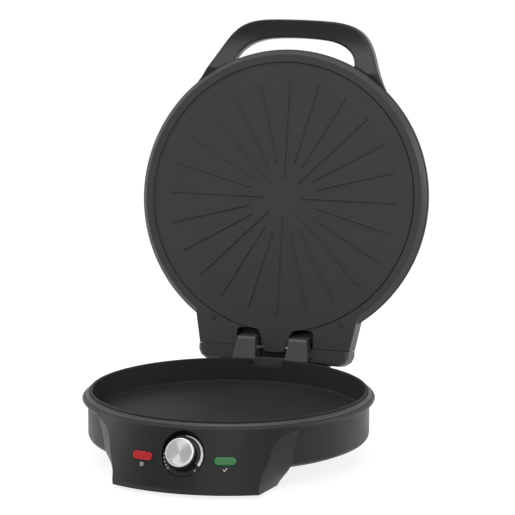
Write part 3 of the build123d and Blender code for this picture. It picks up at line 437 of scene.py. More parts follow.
@dataclass(frozen=True)
class WovenSleeve(Finish):
    """Braided glass fibre: pale strands that cross over one another.

    Attributes:
        cross: Turn about each axis between the two sets of strands, in radians.
    """

    cross: float = 0.8

    def height(self, tree: Tree, place: Socket) -> Socket:
        """Crossing strands.

        Args:
            tree: The material's nodes.
            place: Object coordinates.

        Returns:
            The height's output socket.
        """
        scale = pitch(2 * math.pi * self.grain_mm)
        turned = add_node(tree, "ShaderNodeMapping", {"Vector": place, "Rotation": (self.cross,) * 3})
        one, other = (add_node(tree, "ShaderNodeTexWave", {"Vector": way, "Scale": scale},
                               bands_direction="DIAGONAL").outputs["Fac"]
                      for way in (place, turned.outputs["Vector"]))
        over = add_node(tree, "ShaderNodeMath", {0: one, 1: other}, operation="MAXIMUM")
        return over.outputs["Value"]


# Moulded ABS from a spark-eroded tool: even satin skin with a fine pebble, drawn at twice its real size
CASING_PLASTIC = Finish("moulded_abs_casing", "#151516", 0.44, ior=1.53, specular=0.30, grain_mm=1.0,
                        depth_mm=0.012, edge_mm=0.8)
# The same plastic from a duller tool: the lid's shell and frame show no sharp highlights
LID_PLASTIC = Finish("moulded_abs_lid", "#252526", 0.48, ior=1.53, grain_mm=1.2, depth_mm=0.012, edge_mm=0.7)
# The same plastic from a nearly polished tool: the handle carries long soft highlights on its edges
HANDLE_PLASTIC = Finish("moulded_abs_handle", "#121213", 0.34, ior=1.53, specular=0.32, grain_mm=1.6,
                        depth_mm=0.006, edge_mm=1.2, smudge=0.06)
# Heat-resistant phenolic moulding: a slightly waxy dark skin
RIM_PLASTIC = Finish("moulded_phenolic_ring", "#1e1e1f", 0.46, ior=1.6, specular=0.45, grain_mm=1.3,
                     depth_mm=0.01, edge_mm=0.6)
# Non-stick spray coat on spun aluminium: a dark matt floor whose tone changes slowly
PAN_COAT = SprayedCoat("sprayed_nonstick_pan", "#262627", 0.58, ior=1.42, specular=0.22, grain_mm=2.2,
                       depth_mm=0.010, edge_mm=0.8, cloud_mm=70.0)
# The same coat on the cast plate: a little greyer, with a clearer sheen
PLATE_COAT = SprayedCoat("sprayed_nonstick_plate", "#2f2f30", 0.52, ior=1.42, grain_mm=1.8, depth_mm=0.012,
                         edge_mm=0.35, cloud_mm=80.0, wear=0.15, worn="#59595a")
# Powder coat on die-cast zinc: a grey hammered-looking skin on the hinge lugs
HINGE_COAT = Finish("powder_coated_zinc", "#3a3a3b", 0.42, ior=1.5, grain_mm=1.5, depth_mm=0.02, edge_mm=0.8,
                    wear=0.4, worn="#7a7a7b")
# Ground and polished steel: bright, with fine lines along the hinge pins
PIN_STEEL = DrawnMetal("ground_steel", "#b9b9bb", 0.24, metallic=1.0, grain_mm=0.35, depth_mm=0.004,
                       wear=0.1, worn="#e0e0e0")
# Oil-filled sintered bronze: dull, slightly porous and brown
BUSH_BRONZE = Finish("sintered_bronze", "#a5814c", 0.42, metallic=1.0, grain_mm=0.5, depth_mm=0.02,
                     wear=0.2, worn="#d2b070")
# Bright zinc plate on pressed steel screws
SCREW_ZINC = Finish("zinc_plated_steel", "#9a9b9d", 0.34, metallic=1.0, grain_mm=0.4, depth_mm=0.006,
                    edge_mm=0.2, wear=0.3, worn="#d0d0d0")
# Phosphated and oiled steel screws: nearly black
SCREW_BLACK = Finish("phosphated_steel", "#1a1a1b", 0.40, ior=1.6, grain_mm=0.5, depth_mm=0.008, edge_mm=0.2,
                     wear=0.5, worn="#5a5a5a")
# Swaged and annealed sheath tube of a heating element: dull grey-brown scale
ELEMENT_STEEL = Finish("annealed_steel_sheath", "#57534f", 0.50, metallic=1.0, cloud=0.35, cloud_mm=14.0,
                       grain_mm=0.7, depth_mm=0.012, wear=0.1, worn="#8a8580")
# Rolled aluminium sheet: rolling lines along X
SHEET_ALUMINIUM = DrawnMetal("rolled_aluminium", "#c4c5c7", 0.34, metallic=1.0, grain_mm=0.5, depth_mm=0.006,
                             edge_mm=0.3, worn="#e6e6e6")
# Drawn aluminium can of a thermal cut-out: pale, with upright drawing lines
CAN_ALUMINIUM = DrawnMetal("drawn_aluminium_can", "#b4b5b7", 0.30, metallic=1.0, grain_mm=0.4,
                           depth_mm=0.005, edge_mm=0.3, worn="#dddddd", along=(0.0, 0.0, 1.0))
# ABS from a polished tool: the knob's side is glossy black
KNOB_PLASTIC = Finish("moulded_abs_knob", "#121213", 0.24, ior=1.53, specular=0.4, grain_mm=1.2,
                      depth_mm=0.004, edge_mm=0.6)
# Turned and clear anodised aluminium: pale, with a fan-shaped highlight
CAP_METAL = SpunMetal("turned_anodised_aluminium", "#dadada", 0.30, metallic=1.0, cloud=0.03, cloud_mm=8.0,
                      smudge=0.03, grain_mm=0.55, depth_mm=0.006, edge_mm=0.35, wear=0.5, worn="#f4f4f4")
# Matt screen-printed polycarbonate: a flat dark ground for the dial's marks
DIAL_PLASTIC = Finish("printed_polycarbonate_dial", "#161617", 0.46, ior=1.58, specular=0.35, grain_mm=0.9,
                      depth_mm=0.006, edge_mm=0.2)
# Moulded acrylic over unlit lamps: deep red and deep green, with upright prisms behind a glossy face
RED_LENS = TintedLens("moulded_acrylic_red", "#ae131c", 0.24, ior=1.49, grain_mm=1.0, depth_mm=0.01,
                      edge_mm=0.7, wear=0.2, worn="#e0767a", cloud_mm=9.0)
GREEN_LENS = TintedLens("moulded_acrylic_green", "#0c6e29", 0.24, ior=1.49, grain_mm=1.0, depth_mm=0.01,
                        edge_mm=0.7, wear=0.2, worn="#67b97c", cloud_mm=9.0)
# Moulded nylon lamp holders and terminal block: waxy off-white
LAMP_NYLON = Finish("moulded_nylon_holder", "#d6d4cc", 0.45, ior=1.53, wear=0.1, worn="#e8e6de",
                    grain_mm=0.8, depth_mm=0.01)
TERMINAL_NYLON = Finish("moulded_nylon_block", "#dcdad2", 0.42, ior=1.53, wear=0.1, worn="#eceae2",
                        grain_mm=0.8, depth_mm=0.01)
# Fired steatite body of the thermostat: cream, dry and faintly sandy
STEATITE = Finish("fired_steatite", "#cfc8b6", 0.62, ior=1.6, wear=0.15, worn="#e4ddca", grain_mm=0.6,
                  depth_mm=0.03)
# Moulded rubber of the gland and the feet: black, dry and dull
GLAND_RUBBER = Finish("moulded_rubber_gland", "#161616", 0.60, ior=1.52, specular=0.35, grain_mm=0.9,
                      depth_mm=0.02, wear=0.15)
FOOT_RUBBER = Finish("moulded_rubber_foot", "#1a1a1a", 0.70, ior=1.52, specular=0.3, grain_mm=0.8,
                     depth_mm=0.03, wear=0.2)
# Braided glass fibre on the wires: pale crossing strands, drawn coarse enough to show
SLEEVE_FIBRE = WovenSleeve("braided_glass_fibre", "#d8d2c0", 0.68, ior=1.5, specular=0.3, grain_mm=0.8,
                           depth_mm=0.12, wear=0.0)
# Pad-printed ink: a thin flat white film, slightly uneven
PRINT_INK = Finish("pad_printed_ink", "#f2f2f0", 0.55, ior=1.5, specular=0.3, cloud_mm=3.0, cloud=0.05,
                   wear=0.0, grain_mm=0.5, depth_mm=0.004, edge_mm=0.05)


def dress(finish: Finish, *nodes: str) -> None:
    """Give CAD nodes one finish.

    Args:
        finish: The finish.
        *nodes: Names of the nodes.
    """
    material = finish.make()
    for name in nodes:
        mesh = frame["nodes"][name].data
        mesh.materials.clear()
        mesh.materials.append(material)
    log.info("%s on %s", finish.name, ", ".join(nodes))


def linked(name: str, data: bpy.types.ID) -> bpy.types.Object:
    """Put a mesh, lamp or camera in the scene.

    Args:
        name: The new object's name.
        data: What it shows.

    Returns:
        The new object.
    """
    made = bpy.data.objects.new(name, data)
    bpy.context.scene.collection.objects.link(made)
    return made


def new_piece(name: str, mesh: bpy.types.Mesh, body: Body, material: bpy.types.Material,
              place: Matrix | None = None) -> bpy.types.Object:
    """Put a finished mesh in the scene and fix it to its body.

    Args:
        name: The piece's name.
        mesh: Its mesh.
        body: The body that it rides on.
        material: Its material.
        place: Its own frame; the CAD frame if left out.

    Returns:
        The new object.
    """
    mesh.materials.clear()
    mesh.materials.append(material)
    piece = linked(name, mesh)
    if place is not None:
        piece.matrix_world = place
    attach(piece, body.value)
    log.info("built %s with %d faces", name, len(mesh.polygons))
    return piece


def baked(source: bpy.types.Object) -> bpy.types.Mesh:
    """Final mesh of a helper object with its modifiers applied; the helper is removed.

    Args:
        source: The helper.

    Returns:
        A new mesh with smooth faces.
    """
    bpy.context.view_layer.update()
    depsgraph = bpy.context.evaluated_depsgraph_get()
    mesh = bpy.data.meshes.new_from_object(source.evaluated_get(depsgraph))
    bpy.data.objects.remove(source)
    mesh.shade_smooth()
    return mesh


def frame_at(origin: Sequence[float], across: Sequence[float], outward: Sequence[float]) -> Matrix:
    """Matrix of a local frame.

    Args:
        origin: Its origin.
        across: Its X direction.
        outward: Its Z direction.

    Returns:
        The matrix from the local frame to the CAD frame.
    """
    z_way = Vector(outward).normalized()
    x_way = Vector(across).normalized()
    y_way = z_way.cross(x_way)
    turn = Matrix((x_way, y_way, z_way)).transposed().to_4x4()
    return Matrix.Translation(Vector(origin)) @ turn


def dial_frame() -> Matrix:
    """Frame of the dial, from the knob's own joint: Z points out to the user and Y up the dial."""
    joint = next(one for one in frame["joints"] if one["name"] == "knob_turn")
    return frame_at(joint["pos_m"], (1.0, 0.0, 0.0), [-part for part in joint["axis"]])


@dataclass
class Print:
    """Flat printed shapes that follow a surface.

    Attributes:
        place: Gives the point of the surface for a place on the print, in millimetres, and a height above it.
        film_mm: Thickness of the ink, drawn thick enough to clear the surface.
        built: What was drawn so far.
    """

    place: Placing
    film_mm: float = 0.08
    built: bmesh.types.BMesh = field(default_factory=bmesh.new)

    def polygon(self, points: Sequence[Point]) -> None:
        """Add one convex shape.

        Args:
            points: Its outline, anticlockwise.
        """
        low = [self.built.verts.new(self.place(x, y, 0.0)) for x, y in points]
        high = [self.built.verts.new(self.place(x, y, self.film_mm)) for x, y in points]
        self.built.faces.new(high)
        self.built.faces.new(list(reversed(low)))
        count = len(points)
        for at in range(count):
            after = (at + 1) % count
            self.built.faces.new((low[at], low[after], high[after], high[at]))

    def disc(self, centre: Point, radius: float, sides: int = 20) -> None:
        """Add a round dot.

        Args:
            centre: Its centre.
            radius: Its radius.
            sides: How many sides it is drawn with.
        """
        self.polygon([around(centre, radius, 2 * math.pi * at / sides) for at in range(sides)])

    def stroke(self, start: Point, end: Point, width: float, steps: int = 6) -> None:
        """Add a straight stroke with round ends.

        Args:
            start: Where it starts.
            end: Where it ends.
            width: Its width.
            steps: How many pieces each round end is drawn with.
        """
        way = math.atan2(end[1] - start[1], end[0] - start[0])
        ends = [(end, way - math.pi / 2), (start, way + math.pi / 2)]
        self.polygon([around(middle, width / 2, first + math.pi * step / steps)
                      for middle, first in ends for step in range(steps + 1)])

    def band(self, centre: Point, turns: tuple[float, float], inner: Sequence[float], outer: Sequence[float],
             steps: int = 40) -> None:
        """Add a curved band whose width may change along it.

        Args:
            centre: Centre of its curve.
            turns: Angles in degrees at its start and end, rising.
            inner: Inner radii at points spread evenly along it.
            outer: Outer radii at the same points.
            steps: How many pieces it is drawn with.
        """
        def edge(radii: Sequence[float], share: float) -> Point:
            """Point of the band's inner or outer edge.

            Args:
                radii: Radii of that edge.
                share: How far along the band it is, from nought to one.

            Returns:
                The point on the print.
            """
            place = share * (len(radii) - 1)
            low = int(place)
            high = min(low + 1, len(radii) - 1)
            radius = radii[low] + (radii[high] - radii[low]) * (place - low)
            return around(centre, radius, math.radians(turns[0] + (turns[1] - turns[0]) * share))

        for step in range(steps):
            here, there = step / steps, (step + 1) / steps
            self.polygon([edge(inner, here), edge(outer, here), edge(outer, there), edge(inner, there)])

    def finish(self, name: str) -> bpy.types.Mesh:
        """Turn what was drawn into one clean mesh.

        Args:
            name: The mesh's name.

        Returns:
            The mesh, with shared edges joined and the walls between its pieces taken out.
        """
        touching = 1e-6
        bmesh.ops.remove_doubles(self.built, verts=self.built.verts, dist=touching)
        faces: dict[tuple, list] = {}
        for face in self.built.faces:
            faces.setdefault(tuple(sorted(v.index for v in face.verts)), []).append(face)
        doubled = [face for group in faces.values() if len(group) > 1 for face in group]
        bmesh.ops.delete(self.built, geom=doubled, context="FACES_ONLY")
        bmesh.ops.recalc_face_normals(self.built, faces=self.built.faces)
        mesh = bpy.data.meshes.new(name)
        self.built.to_mesh(mesh)
        self.built.free()
        return mesh


@dataclass
class Casing:
    """Base casing with its ring, covers, feet, gland, screws and terminals, and the pan that it carries."""

    def dress(self) -> None:
        """Give each of its CAD nodes its finish."""
        dress(CASING_PLASTIC, "base_casing", "control_pod_cover", "rear_pod_cover", "bottom_cover")
        dress(RIM_PLASTIC, "rim_ring")
        dress(PAN_COAT, "baking_pan")
        dress(FOOT_RUBBER, "rubber_feet")
        dress(GLAND_RUBBER, "cable_gland")
        dress(SCREW_ZINC, "casing_screws", "bracket_screws")
        dress(TERMINAL_NYLON, "terminal_block")


@dataclass
class ControlPanel:
    """Conical panel with the dial, two lights and the marks printed on them.

    Attributes:
        axis_y: Y of the conical panel's upright axis, in metres; the other lengths are in millimetres.
        low: Radius and height of the panel's lower edge.
        high: Radius and height of its upper edge.
        mark_turn: Degrees round the panel from its middle to each light.
        mark_z: Height of the marks under the lights.
        dial_rise: Height of the dial plate's face above the joint's origin.
        ring: Radius of the marks round the knob.
        dot: Radius of a dot.
        dot_turns: Angle of each dot, in degrees.
        crescent: Widths of the curved band, spread evenly from its lower to its upper end.
        crescent_turns: Angles of these ends, in degrees.
        digit_size: Height of a digit.
        digit_turns: Each digit with its angle in degrees and its piece's name.
        power_line: Width of the power symbol's line.
        power_reach: Inner radius of its open ring.
        power_turns: Angles of that ring's ends, in degrees.
        power_bar: Ends of its upright bar.
        tick: Start, foot and end of the tick.
        tick_line: Width of its line.
    """

    axis_y: float = -56.0 * MM
    low: Point = (181.0, 9.8)
    high: Point = (161.2, 70.6)
    mark_turn: float = 15.5
    mark_z: float = 31.6
    dial_rise: float = -4.0
    ring: float = 21.4
    dot: float = 0.62
    dot_turns: tuple[float, ...] = (178.6, 190.0, 201.5, 212.9)
    crescent: tuple[float, ...] = (3.1, 2.7, 2.2, 1.5, 0.7)
    crescent_turns: tuple[float, float] = (-30.0, 90.0)
    digit_size: float = 2.3
    digit_turns: tuple[tuple[str, float, str], ...] = (("0", 223.4, "dial_nought"), ("5", 312.5, "dial_five"))
    power_line: float = 0.5
    power_reach: float = 1.55
    power_turns: tuple[float, float] = (-235.0, 55.0)
    power_bar: tuple[Point, Point] = ((0.0, 0.4), (0.0, 2.2))
    tick: tuple[Point, Point, Point] = ((-2.0, 0.0), (-0.6, -1.5), (2.3, 1.8))
    tick_line: float = 0.6

    def on_panel(self, turn: float) -> Placing:
        """Way to place a mark on the cone.

        Args:
            turn: Degrees round the panel from its middle, positive to the right.

        Returns:
            A function of the place across and up the panel, in millimetres, and the height above it.
        """
        slope = (self.low[0] - self.high[0]) / (self.high[1] - self.low[1])
        lean = math.atan(slope)

        def place(across: float, up: float, above: float) -> Vector:
            """Place a mark on the cone.

            Args:
                across: Millimetres to the right of the chosen angle.
                up: Millimetres above the marks' own height, along the slope.
                above: Millimetres above the panel's face.

            Returns:
                The point in the CAD frame.
            """
            height = self.mark_z + up * math.cos(lean)
            radius = self.high[0] + (self.high[1] - height) * slope
            angle = math.radians(turn) + across / radius
            reach = radius + above * math.cos(lean)
            return Vector((reach * math.sin(angle) * MM, self.axis_y - reach * math.cos(angle) * MM,
                           (height + above * math.sin(lean)) * MM))
        return place

    def on_dial(self, across: float, up: float, above: float) -> Vector:
        """Place a mark on the dial plate.

        Args:
            across: Millimetres to the right of its centre.
            up: Millimetres above its centre.
            above: Millimetres above its face.

        Returns:
            The point in the CAD frame.
        """
        return dial_frame() @ Vector((across * MM, up * MM, (self.dial_rise + above) * MM))

    def digit(self, text: str, turn: float, dial: Print) -> None:
        """Print a plain digit upright on the dial, its strokes placed by shares of half its height.

        Args:
            text: Either "0" or "5".
            turn: Angle of its place, in degrees.
            dial: The print that it joins.
        """
        middle = around(MIDDLE, self.ring, math.radians(turn))
        width, half = self.digit_size * 0.16, self.digit_size / 2
        if text == "0":
            dial.band(middle, (0, 360), [half - width], [half], steps=24)
            return
        left, right, top = middle[0] - half * 0.55, middle[0] + half * 0.55, middle[1] + half
        dial.stroke((left, top), (right, top), width)
        dial.stroke((left, top), (left, middle[1] + half * 0.2), width)
        bowl, bowl_radius = (middle[0] - half * 0.05, middle[1] - half * 0.35), half * 0.65
        dial.band(bowl, (-140, 130), [bowl_radius - width], [bowl_radius], steps=20)

    def print_dial(self, ink: bpy.types.Material) -> None:
        """Print the dots, the widening band and the digits round the knob.

        Args:
            ink: Material of the prints.
        """
        dots = Print(self.on_dial)
        for turn in self.dot_turns:
            dots.disc(around(MIDDLE, self.ring, math.radians(turn)), self.dot)
        new_piece("dial_dots", dots.finish("dial_dots"), Body.BASE, ink)
        rising = Print(self.on_dial)
        outer = [self.ring + 0.2] * len(self.crescent)
        inner = [edge - width for edge, width in zip(outer, self.crescent)]
        rising.band(MIDDLE, self.crescent_turns, inner, outer, steps=60)
        new_piece("dial_crescent", rising.finish("dial_crescent"), Body.BASE, ink)
        for text, turn, name in self.digit_turns:
            number = Print(self.on_dial)
            self.digit(text, turn, number)
            new_piece(name, number.finish(name), Body.BASE, ink)

    def print_symbols(self, ink: bpy.types.Material) -> None:
        """Print the power symbol under the red light and the tick under the green one.

        Args:
            ink: Material of the prints.
        """
        power = Print(self.on_panel(-self.mark_turn))
        outer = self.power_reach + self.power_line
        power.band(MIDDLE, self.power_turns, [self.power_reach], [outer], steps=36)
        power.stroke(*self.power_bar, self.power_line)
        new_piece("power_symbol", power.finish("power_symbol"), Body.BASE, ink)
        tick = Print(self.on_panel(self.mark_turn))
        for start, end in zip(self.tick, self.tick[1:]):
            tick.stroke(start, end, self.tick_line)
        new_piece("ready_tick", tick.finish("ready_tick"), Body.BASE, ink)

    def build(self) -> None:
        """Print all marks with one ink."""
        ink = PRINT_INK.make()
        self.print_dial(ink)
        self.print_symbols(ink)

    def dress(self) -> None:
        """Give the dial, the lights and what works behind the panel their finishes."""
        dress(DIAL_PLASTIC, "dial_plate")
        dress(RED_LENS, "power_lens")
        dress(GREEN_LENS, "ready_lens")
        dress(LAMP_NYLON, "indicator_lamps")
        dress(STEATITE, "thermostat")


@dataclass
class Knob:
    """Thermostat knob: moulded body, turned cap and shaft.

    Attributes:
        rim: Outer radius of the cap, in millimetres like the other lengths.
        base: Height of the cap's underside above the dial's origin.
        top: Height of its flat top.
        pointer: Angle of the pointer groove at rest, in degrees.
        groove: Inner and outer end of the groove, and its width.
        depth: How deep the groove is milled.
        crease: Degrees between two faces from which their edge stays sharp.
    """

    rim: float = 15.7
    base: float = 9.8
    top: float = 12.9
    pointer: float = 220.0
    groove: tuple[float, float, float] = (6.6, 13.4, 1.0)
    depth: float = 0.55
    crease: float = 50.0

    def profile(self) -> list[Point]:
        """Half section of the cap, from the middle of its top to the middle of its underside.

        Returns:
            Radius and height of each point.
        """
        rim, top, base = self.rim, self.top, self.base
        dish = [(0.0, top - 0.12), (2.2, top - 0.12), (4.0, top - 0.10), (8.0, top - 0.05), (12.5, top)]
        shoulder = [(rim - 1.3, top), (rim - 0.75, top - 0.12), (rim - 0.25, top - 0.5), (rim, top - 1.1)]
        foot = [(rim, base + 0.5), (rim - 0.3, base), (0.0, base)]
        return dish + shoulder + foot

    def lathe(self, points: Sequence[Point], sides: int = 128) -> bpy.types.Mesh:
        """Turn a half section round the axis.

        Args:
            points: Radius and height, in millimetres, both ends on the axis.
            sides: How many sides the round has.

        Returns:
            A closed mesh.
        """
        built = bmesh.new()
        rings = [[built.verts.new((0.0, 0.0, points[0][1] * MM))]]
        for radius, height in points[1:-1]:
            circle = [around(MIDDLE, radius * MM, 2 * math.pi * at / sides) for at in range(sides)]
            rings.append([built.verts.new((x, y, height * MM)) for x, y in circle])
        rings.append([built.verts.new((0.0, 0.0, points[-1][1] * MM))])
        for upper, lower in zip(rings, rings[1:]):
            for at in range(sides):
                after = (at + 1) % sides
                loop = [upper[at % len(upper)], lower[at % len(lower)],
                        lower[after % len(lower)], upper[after % len(upper)]]
                built.faces.new(list(dict.fromkeys(loop)))
        bmesh.ops.recalc_face_normals(built, faces=built.faces)
        mesh = bpy.data.meshes.new("knob_cap_turned")
        built.to_mesh(mesh)
        built.free()
        return mesh

    def build(self) -> None:
        """Turn the cap and mill its pointer groove."""
        inner, outer, width = self.groove
        turn = math.radians(self.pointer)

        def on_cap(across: float, up: float, above: float) -> Vector:
            """Place a point on the cap, with heights counted from the groove's floor."""
            return Vector((across * MM, up * MM, (self.top - self.depth + above) * MM))

        cutter = Print(on_cap, film_mm=2 * self.depth)
        cutter.stroke(around(MIDDLE, inner, turn), around(MIDDLE, outer, turn), width)
        tool = linked("groove_tool", cutter.finish("groove_tool"))
        blank = linked("cap_blank", self.lathe(self.profile()))
        cut = blank.modifiers.new("groove", "BOOLEAN")
        cut.operation, cut.object, cut.solver = "DIFFERENCE", tool, "EXACT"
        mesh = baked(blank)
        bpy.data.objects.remove(tool)
        mesh.set_sharp_from_angle(angle=math.radians(self.crease))
        cap = new_piece("turned_cap", mesh, Body.KNOB, CAP_METAL.make(), dial_frame())
        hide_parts("knob_cap")

    def dress(self) -> None:
        """Give the knob's CAD nodes their finish, and the hinge pins the same ground steel as the shaft."""
        dress(KNOB_PLASTIC, "knob_body")
        dress(PIN_STEEL, "thermostat_shaft", "hinge_pins")


@dataclass
class Lid:
    """Lid with its ribbed plate, frame and domed shell, and the hinge that carries it."""

    def dress(self) -> None:
        """Give the plate, the mouldings and the hinge their finishes."""
        dress(PLATE_COAT, "grill_plate")
        dress(LID_PLASTIC, "lid_frame", "lid_shell", "hinge_cover", "hinge_blocks")
        dress(BUSH_BRONZE, "hinge_bushes")
        dress(SCREW_BLACK, "hinge_screws")
        dress(HINGE_COAT, "hinge_bracket")


@dataclass
class Handle:
    """Loop handle: two moulded halves on the lid's two stubs, with the rounding of the real mouldings.

    Attributes:
        voxel: Grid size of the remeshing; it also closes the hairline gaps between the mouldings.
        passes: Smoothing passes; the rounding grows with their square root.
        strength: How far one pass moves a point towards its neighbours' middle.
        seam: Distance from the lid's shell within which edges stay crisp.
        held: Share of the smoothing that acts even there.
        parts: CAD nodes that the loop is made of.
    """

    voxel: float = 1.0 * MM
    passes: int = 24
    strength: float = 0.5
    seam: float = 1.1 * MM
    held: float = 0.04
    parts: tuple[str, ...] = ("handle_front", "handle_back", "handle_roots")

    def joined(self, names: Sequence[str]) -> tuple[list[Vector], list[tuple[int, ...]]]:
        """Points and faces of several CAD nodes together.

        Args:
            names: The nodes.

        Returns:
            Their points, and their faces as indices of points.
        """
        points: list[Vector] = []
        faces: list[tuple[int, ...]] = []
        for name in names:
            mesh = frame["nodes"][name].data
            start = len(points)
            points.extend(vertex.co.copy() for vertex in mesh.vertices)
            faces.extend(tuple(start + at for at in face.vertices) for face in mesh.polygons)
        return points, faces

    def softened(self) -> bpy.types.Mesh:
        """Round the free edges of the loop and keep the line where it meets the shell.

        Returns:
            The rounded mesh.
        """
        points, faces = self.joined(self.parts)
        mesh = bpy.data.meshes.new("handle_rough")
        mesh.from_pydata(points, [], faces)
        rough = linked("handle_rough", mesh)
        even = rough.modifiers.new("even", "REMESH")
        even.mode, even.voxel_size, even.adaptivity = "VOXEL", self.voxel, 0.0
        solid = linked("handle_even", baked(rough))
        shell = BVHTree.FromPolygons(*self.joined(("lid_shell", "lid_frame")))
        free = solid.vertex_groups.new(name="free")
        reach = 4 * self.seam
        for vertex in solid.data.vertices:
            found = shell.find_nearest(vertex.co, reach)
            gap = found[3] if found[0] is not None else reach
            free.add([vertex.index], min(max((gap - self.seam) / self.seam, self.held), 1.0), "REPLACE")
        smooth = solid.modifiers.new("soft", "SMOOTH")
        smooth.factor, smooth.iterations, smooth.vertex_group = self.strength, self.passes, "free"
        return baked(solid)

    def build(self) -> None:
        """Replace the three CAD parts with the rounded loop."""
        material = HANDLE_PLASTIC.make()
        piece = new_piece("handle_loop_moulded", self.softened(), Body.LID, material)
        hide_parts(*self.parts)


@dataclass
class Heating:
    """Both elements with their straps, shields, cut-outs, screws and sleeved wires.

    Attributes:
        places: Where the two sets are.
    """

    places: tuple[str, str] = ("lower", "upper")

    def dress(self) -> None:
        """Give each of its CAD nodes its finish."""
        finishes = {ELEMENT_STEEL: ("heating_element",), SHEET_ALUMINIUM: ("heat_shield", "element_clips"),
                    CAN_ALUMINIUM: ("thermal_fuse",), SCREW_ZINC: ("plate_screws",)}
        for finish, parts in finishes.items():
            dress(finish, *(f"{place}_{part}" for place in self.places for part in parts))
        dress(SLEEVE_FIBRE, "base_wire_sleeve", "supply_wire_sleeve", "lid_wire_sleeve")


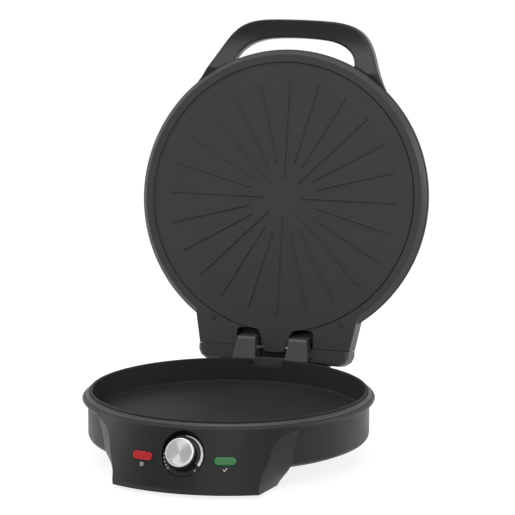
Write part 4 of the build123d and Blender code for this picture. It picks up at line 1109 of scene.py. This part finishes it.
@dataclass
class Studio:
    """White sweep, soft lamps and the camera.

    Attributes:
        aim: Point that the camera looks at.
        lit: Point that the lamps face.
        azimuth: Degrees to the right of the front.
        elevation: Degrees above the horizon.
        distance: From the aim to the camera.
        lens: Focal length, in millimetres.
        sensor: Width of the sensor, in millimetres.
        clip: Nearest and farthest distance that the camera sees.
        world_light: Strength of the world for diffuse light.
        front_dim: Brightness of the unlit room behind the camera, as reflections see it.
        front_edge: Y of the directions at which that room ends and at which the white begins.
        floor_size: Half the side of the square sweep.
        paper: Grey of the sweep as it lights the cooker.
        shade: Grey of the sweep that shows the shadow to the camera.
        floor_glow: Light that keeps the sweep white round that shadow.
    """

    aim: tuple[float, float, float] = (0.03308, -0.056, 0.228)
    lit: tuple[float, float, float] = (0.0, -0.03, 0.18)
    azimuth: float = 16.37
    elevation: float = 11.34
    distance: float = 4.1145
    lens: float = 263.54
    sensor: float = 36.0
    clip: Point = (0.1, 60.0)
    world_light: float = 0.55
    front_dim: float = 0.45
    front_edge: Point = (-0.75, -0.15)
    floor_size: float = 6.0
    paper: float = 0.8
    shade: float = 0.3
    floor_glow: float = 0.84

    def camera(self) -> None:
        """Place the camera where the photograph was taken from."""
        turn, rise = math.radians(self.azimuth), math.radians(self.elevation)
        back = Vector((math.sin(turn) * math.cos(rise), -math.cos(turn) * math.cos(rise), math.sin(rise)))
        data = bpy.data.cameras.new("camera")
        data.sensor_width, data.lens = self.sensor, self.lens
        data.clip_start, data.clip_end = self.clip
        made = linked("camera", data)
        made.rotation_mode = "QUATERNION"
        made.location = Vector(self.aim) + back * self.distance
        made.rotation_quaternion = (-back).to_track_quat("-Z", "Y")
        bpy.context.scene.camera = made

    def seen_plainly(self, tree: Tree) -> Socket:
        """One where the camera, a reflection or clear plastic sees the surroundings.

        Args:
            tree: The node tree it goes in.

        Returns:
            The mask's output socket.
        """
        path = add_node(tree, "ShaderNodeLightPath").outputs
        shiny = add_node(tree, "ShaderNodeMath", {0: path["Is Glossy Ray"], 1: path["Is Transmission Ray"]},
                         operation="MAXIMUM")
        return add_node(tree, "ShaderNodeMath", {0: path["Is Camera Ray"], 1: shiny.outputs["Value"]},
                        operation="MAXIMUM").outputs["Value"]

    def world(self) -> None:
        """White surroundings for the eye and for reflections, soft grey light for matt surfaces."""
        world = bpy.data.worlds.new("studio")
        bpy.context.scene.world = world
        tree = fresh_tree(world)
        start, end = self.front_edge
        way = add_node(tree, "ShaderNodeTexCoord").outputs["Generated"]
        parts = add_node(tree, "ShaderNodeSeparateXYZ", {"Vector": way})
        behind = add_node(tree, "ShaderNodeMapRange",
                          {"Value": parts.outputs["Y"], "From Min": start, "From Max": end,
                           "To Min": self.front_dim, "To Max": 1.0}, interpolation_type="SMOOTHSTEP")
        path = add_node(tree, "ShaderNodeLightPath").outputs
        mirrored = add_node(tree, "ShaderNodeMath", {0: behind.outputs["Result"], 1: path["Is Camera Ray"]},
                            operation="MAXIMUM")
        level = add_node(tree, "ShaderNodeMix",
                         {0: self.seen_plainly(tree), 2: self.world_light, 3: mirrored.outputs["Value"]},
                         data_type="FLOAT")
        light = add_node(tree, "ShaderNodeBackground", {"Color": WHITE, "Strength": level.outputs[0]})
        add_node(tree, "ShaderNodeOutputWorld", {"Surface": light.outputs["Background"]})

    def floor(self) -> None:
        """White sweep that keeps a faint shadow of the cooker."""
        built = bmesh.new()
        bmesh.ops.create_grid(built, x_segments=2, y_segments=2, size=self.floor_size)
        mesh = bpy.data.meshes.new("floor")
        built.to_mesh(mesh)
        built.free()
        made = linked("floor", mesh)
        material = bpy.data.materials.new("white_sweep")
        tree = fresh_tree(material)
        paper = add_node(tree, "ShaderNodeBsdfDiffuse", {"Color": scaled(WHITE, self.paper)})
        thin = add_node(tree, "ShaderNodeBsdfDiffuse", {"Color": scaled(WHITE, self.shade)})
        glow = add_node(tree, "ShaderNodeEmission", {"Color": WHITE, "Strength": self.floor_glow})
        both = add_node(tree, "ShaderNodeAddShader", {0: thin.outputs["BSDF"], 1: glow.outputs["Emission"]})
        mix = add_node(tree, "ShaderNodeMixShader",
                       {0: self.seen_plainly(tree), 1: paper.outputs["BSDF"], 2: both.outputs["Shader"]})
        add_node(tree, "ShaderNodeOutputMaterial", {"Surface": mix.outputs["Shader"]})
        mesh.materials.append(material)

    def lamp(self, name: str, place: Sequence[float], size: Point, power: float) -> None:
        """Hang a soft rectangular lamp that faces the cooker.

        Args:
            name: Its name.
            place: Where it hangs.
            size: Its width and height.
            power: Its power in watts.
        """
        data = bpy.data.lights.new(name, "AREA")
        data.shape, data.size, data.size_y, data.energy = "RECTANGLE", size[0], size[1], power
        made = linked(name, data)
        made.location = place
        made.rotation_mode = "QUATERNION"
        made.rotation_quaternion = (Vector(self.lit) - Vector(place)).to_track_quat("-Z", "Y")

    def build(self) -> None:
        """Set up the whole studio."""
        self.world()
        self.floor()
        self.lamp("top_softbox", (0.0, -0.25, 2.0), (1.6, 1.2), 12.0)
        self.lamp("left_strip", (-1.7, -0.3, 0.7), (0.5, 1.4), 6.5)
        self.lamp("right_strip", (1.8, 0.5, 0.8), (0.5, 1.4), 9.0)
        self.lamp("front_fill", (0.5, -2.4, 1.5), (1.4, 1.0), 14.0)
        self.camera()
        bpy.context.scene.view_settings.view_transform = "Standard"


def main() -> None:
    """Build and dress every sub-assembly in order."""
    logging.basicConfig(level=logging.INFO, format="%(message)s")
    Casing().dress()
    panel = ControlPanel()
    panel.build()
    panel.dress()
    knob = Knob()
    knob.build()
    knob.dress()
    Lid().dress()
    Handle().build()
    Heating().dress()
    Studio().build()


if __name__ == "__main__":
    main()
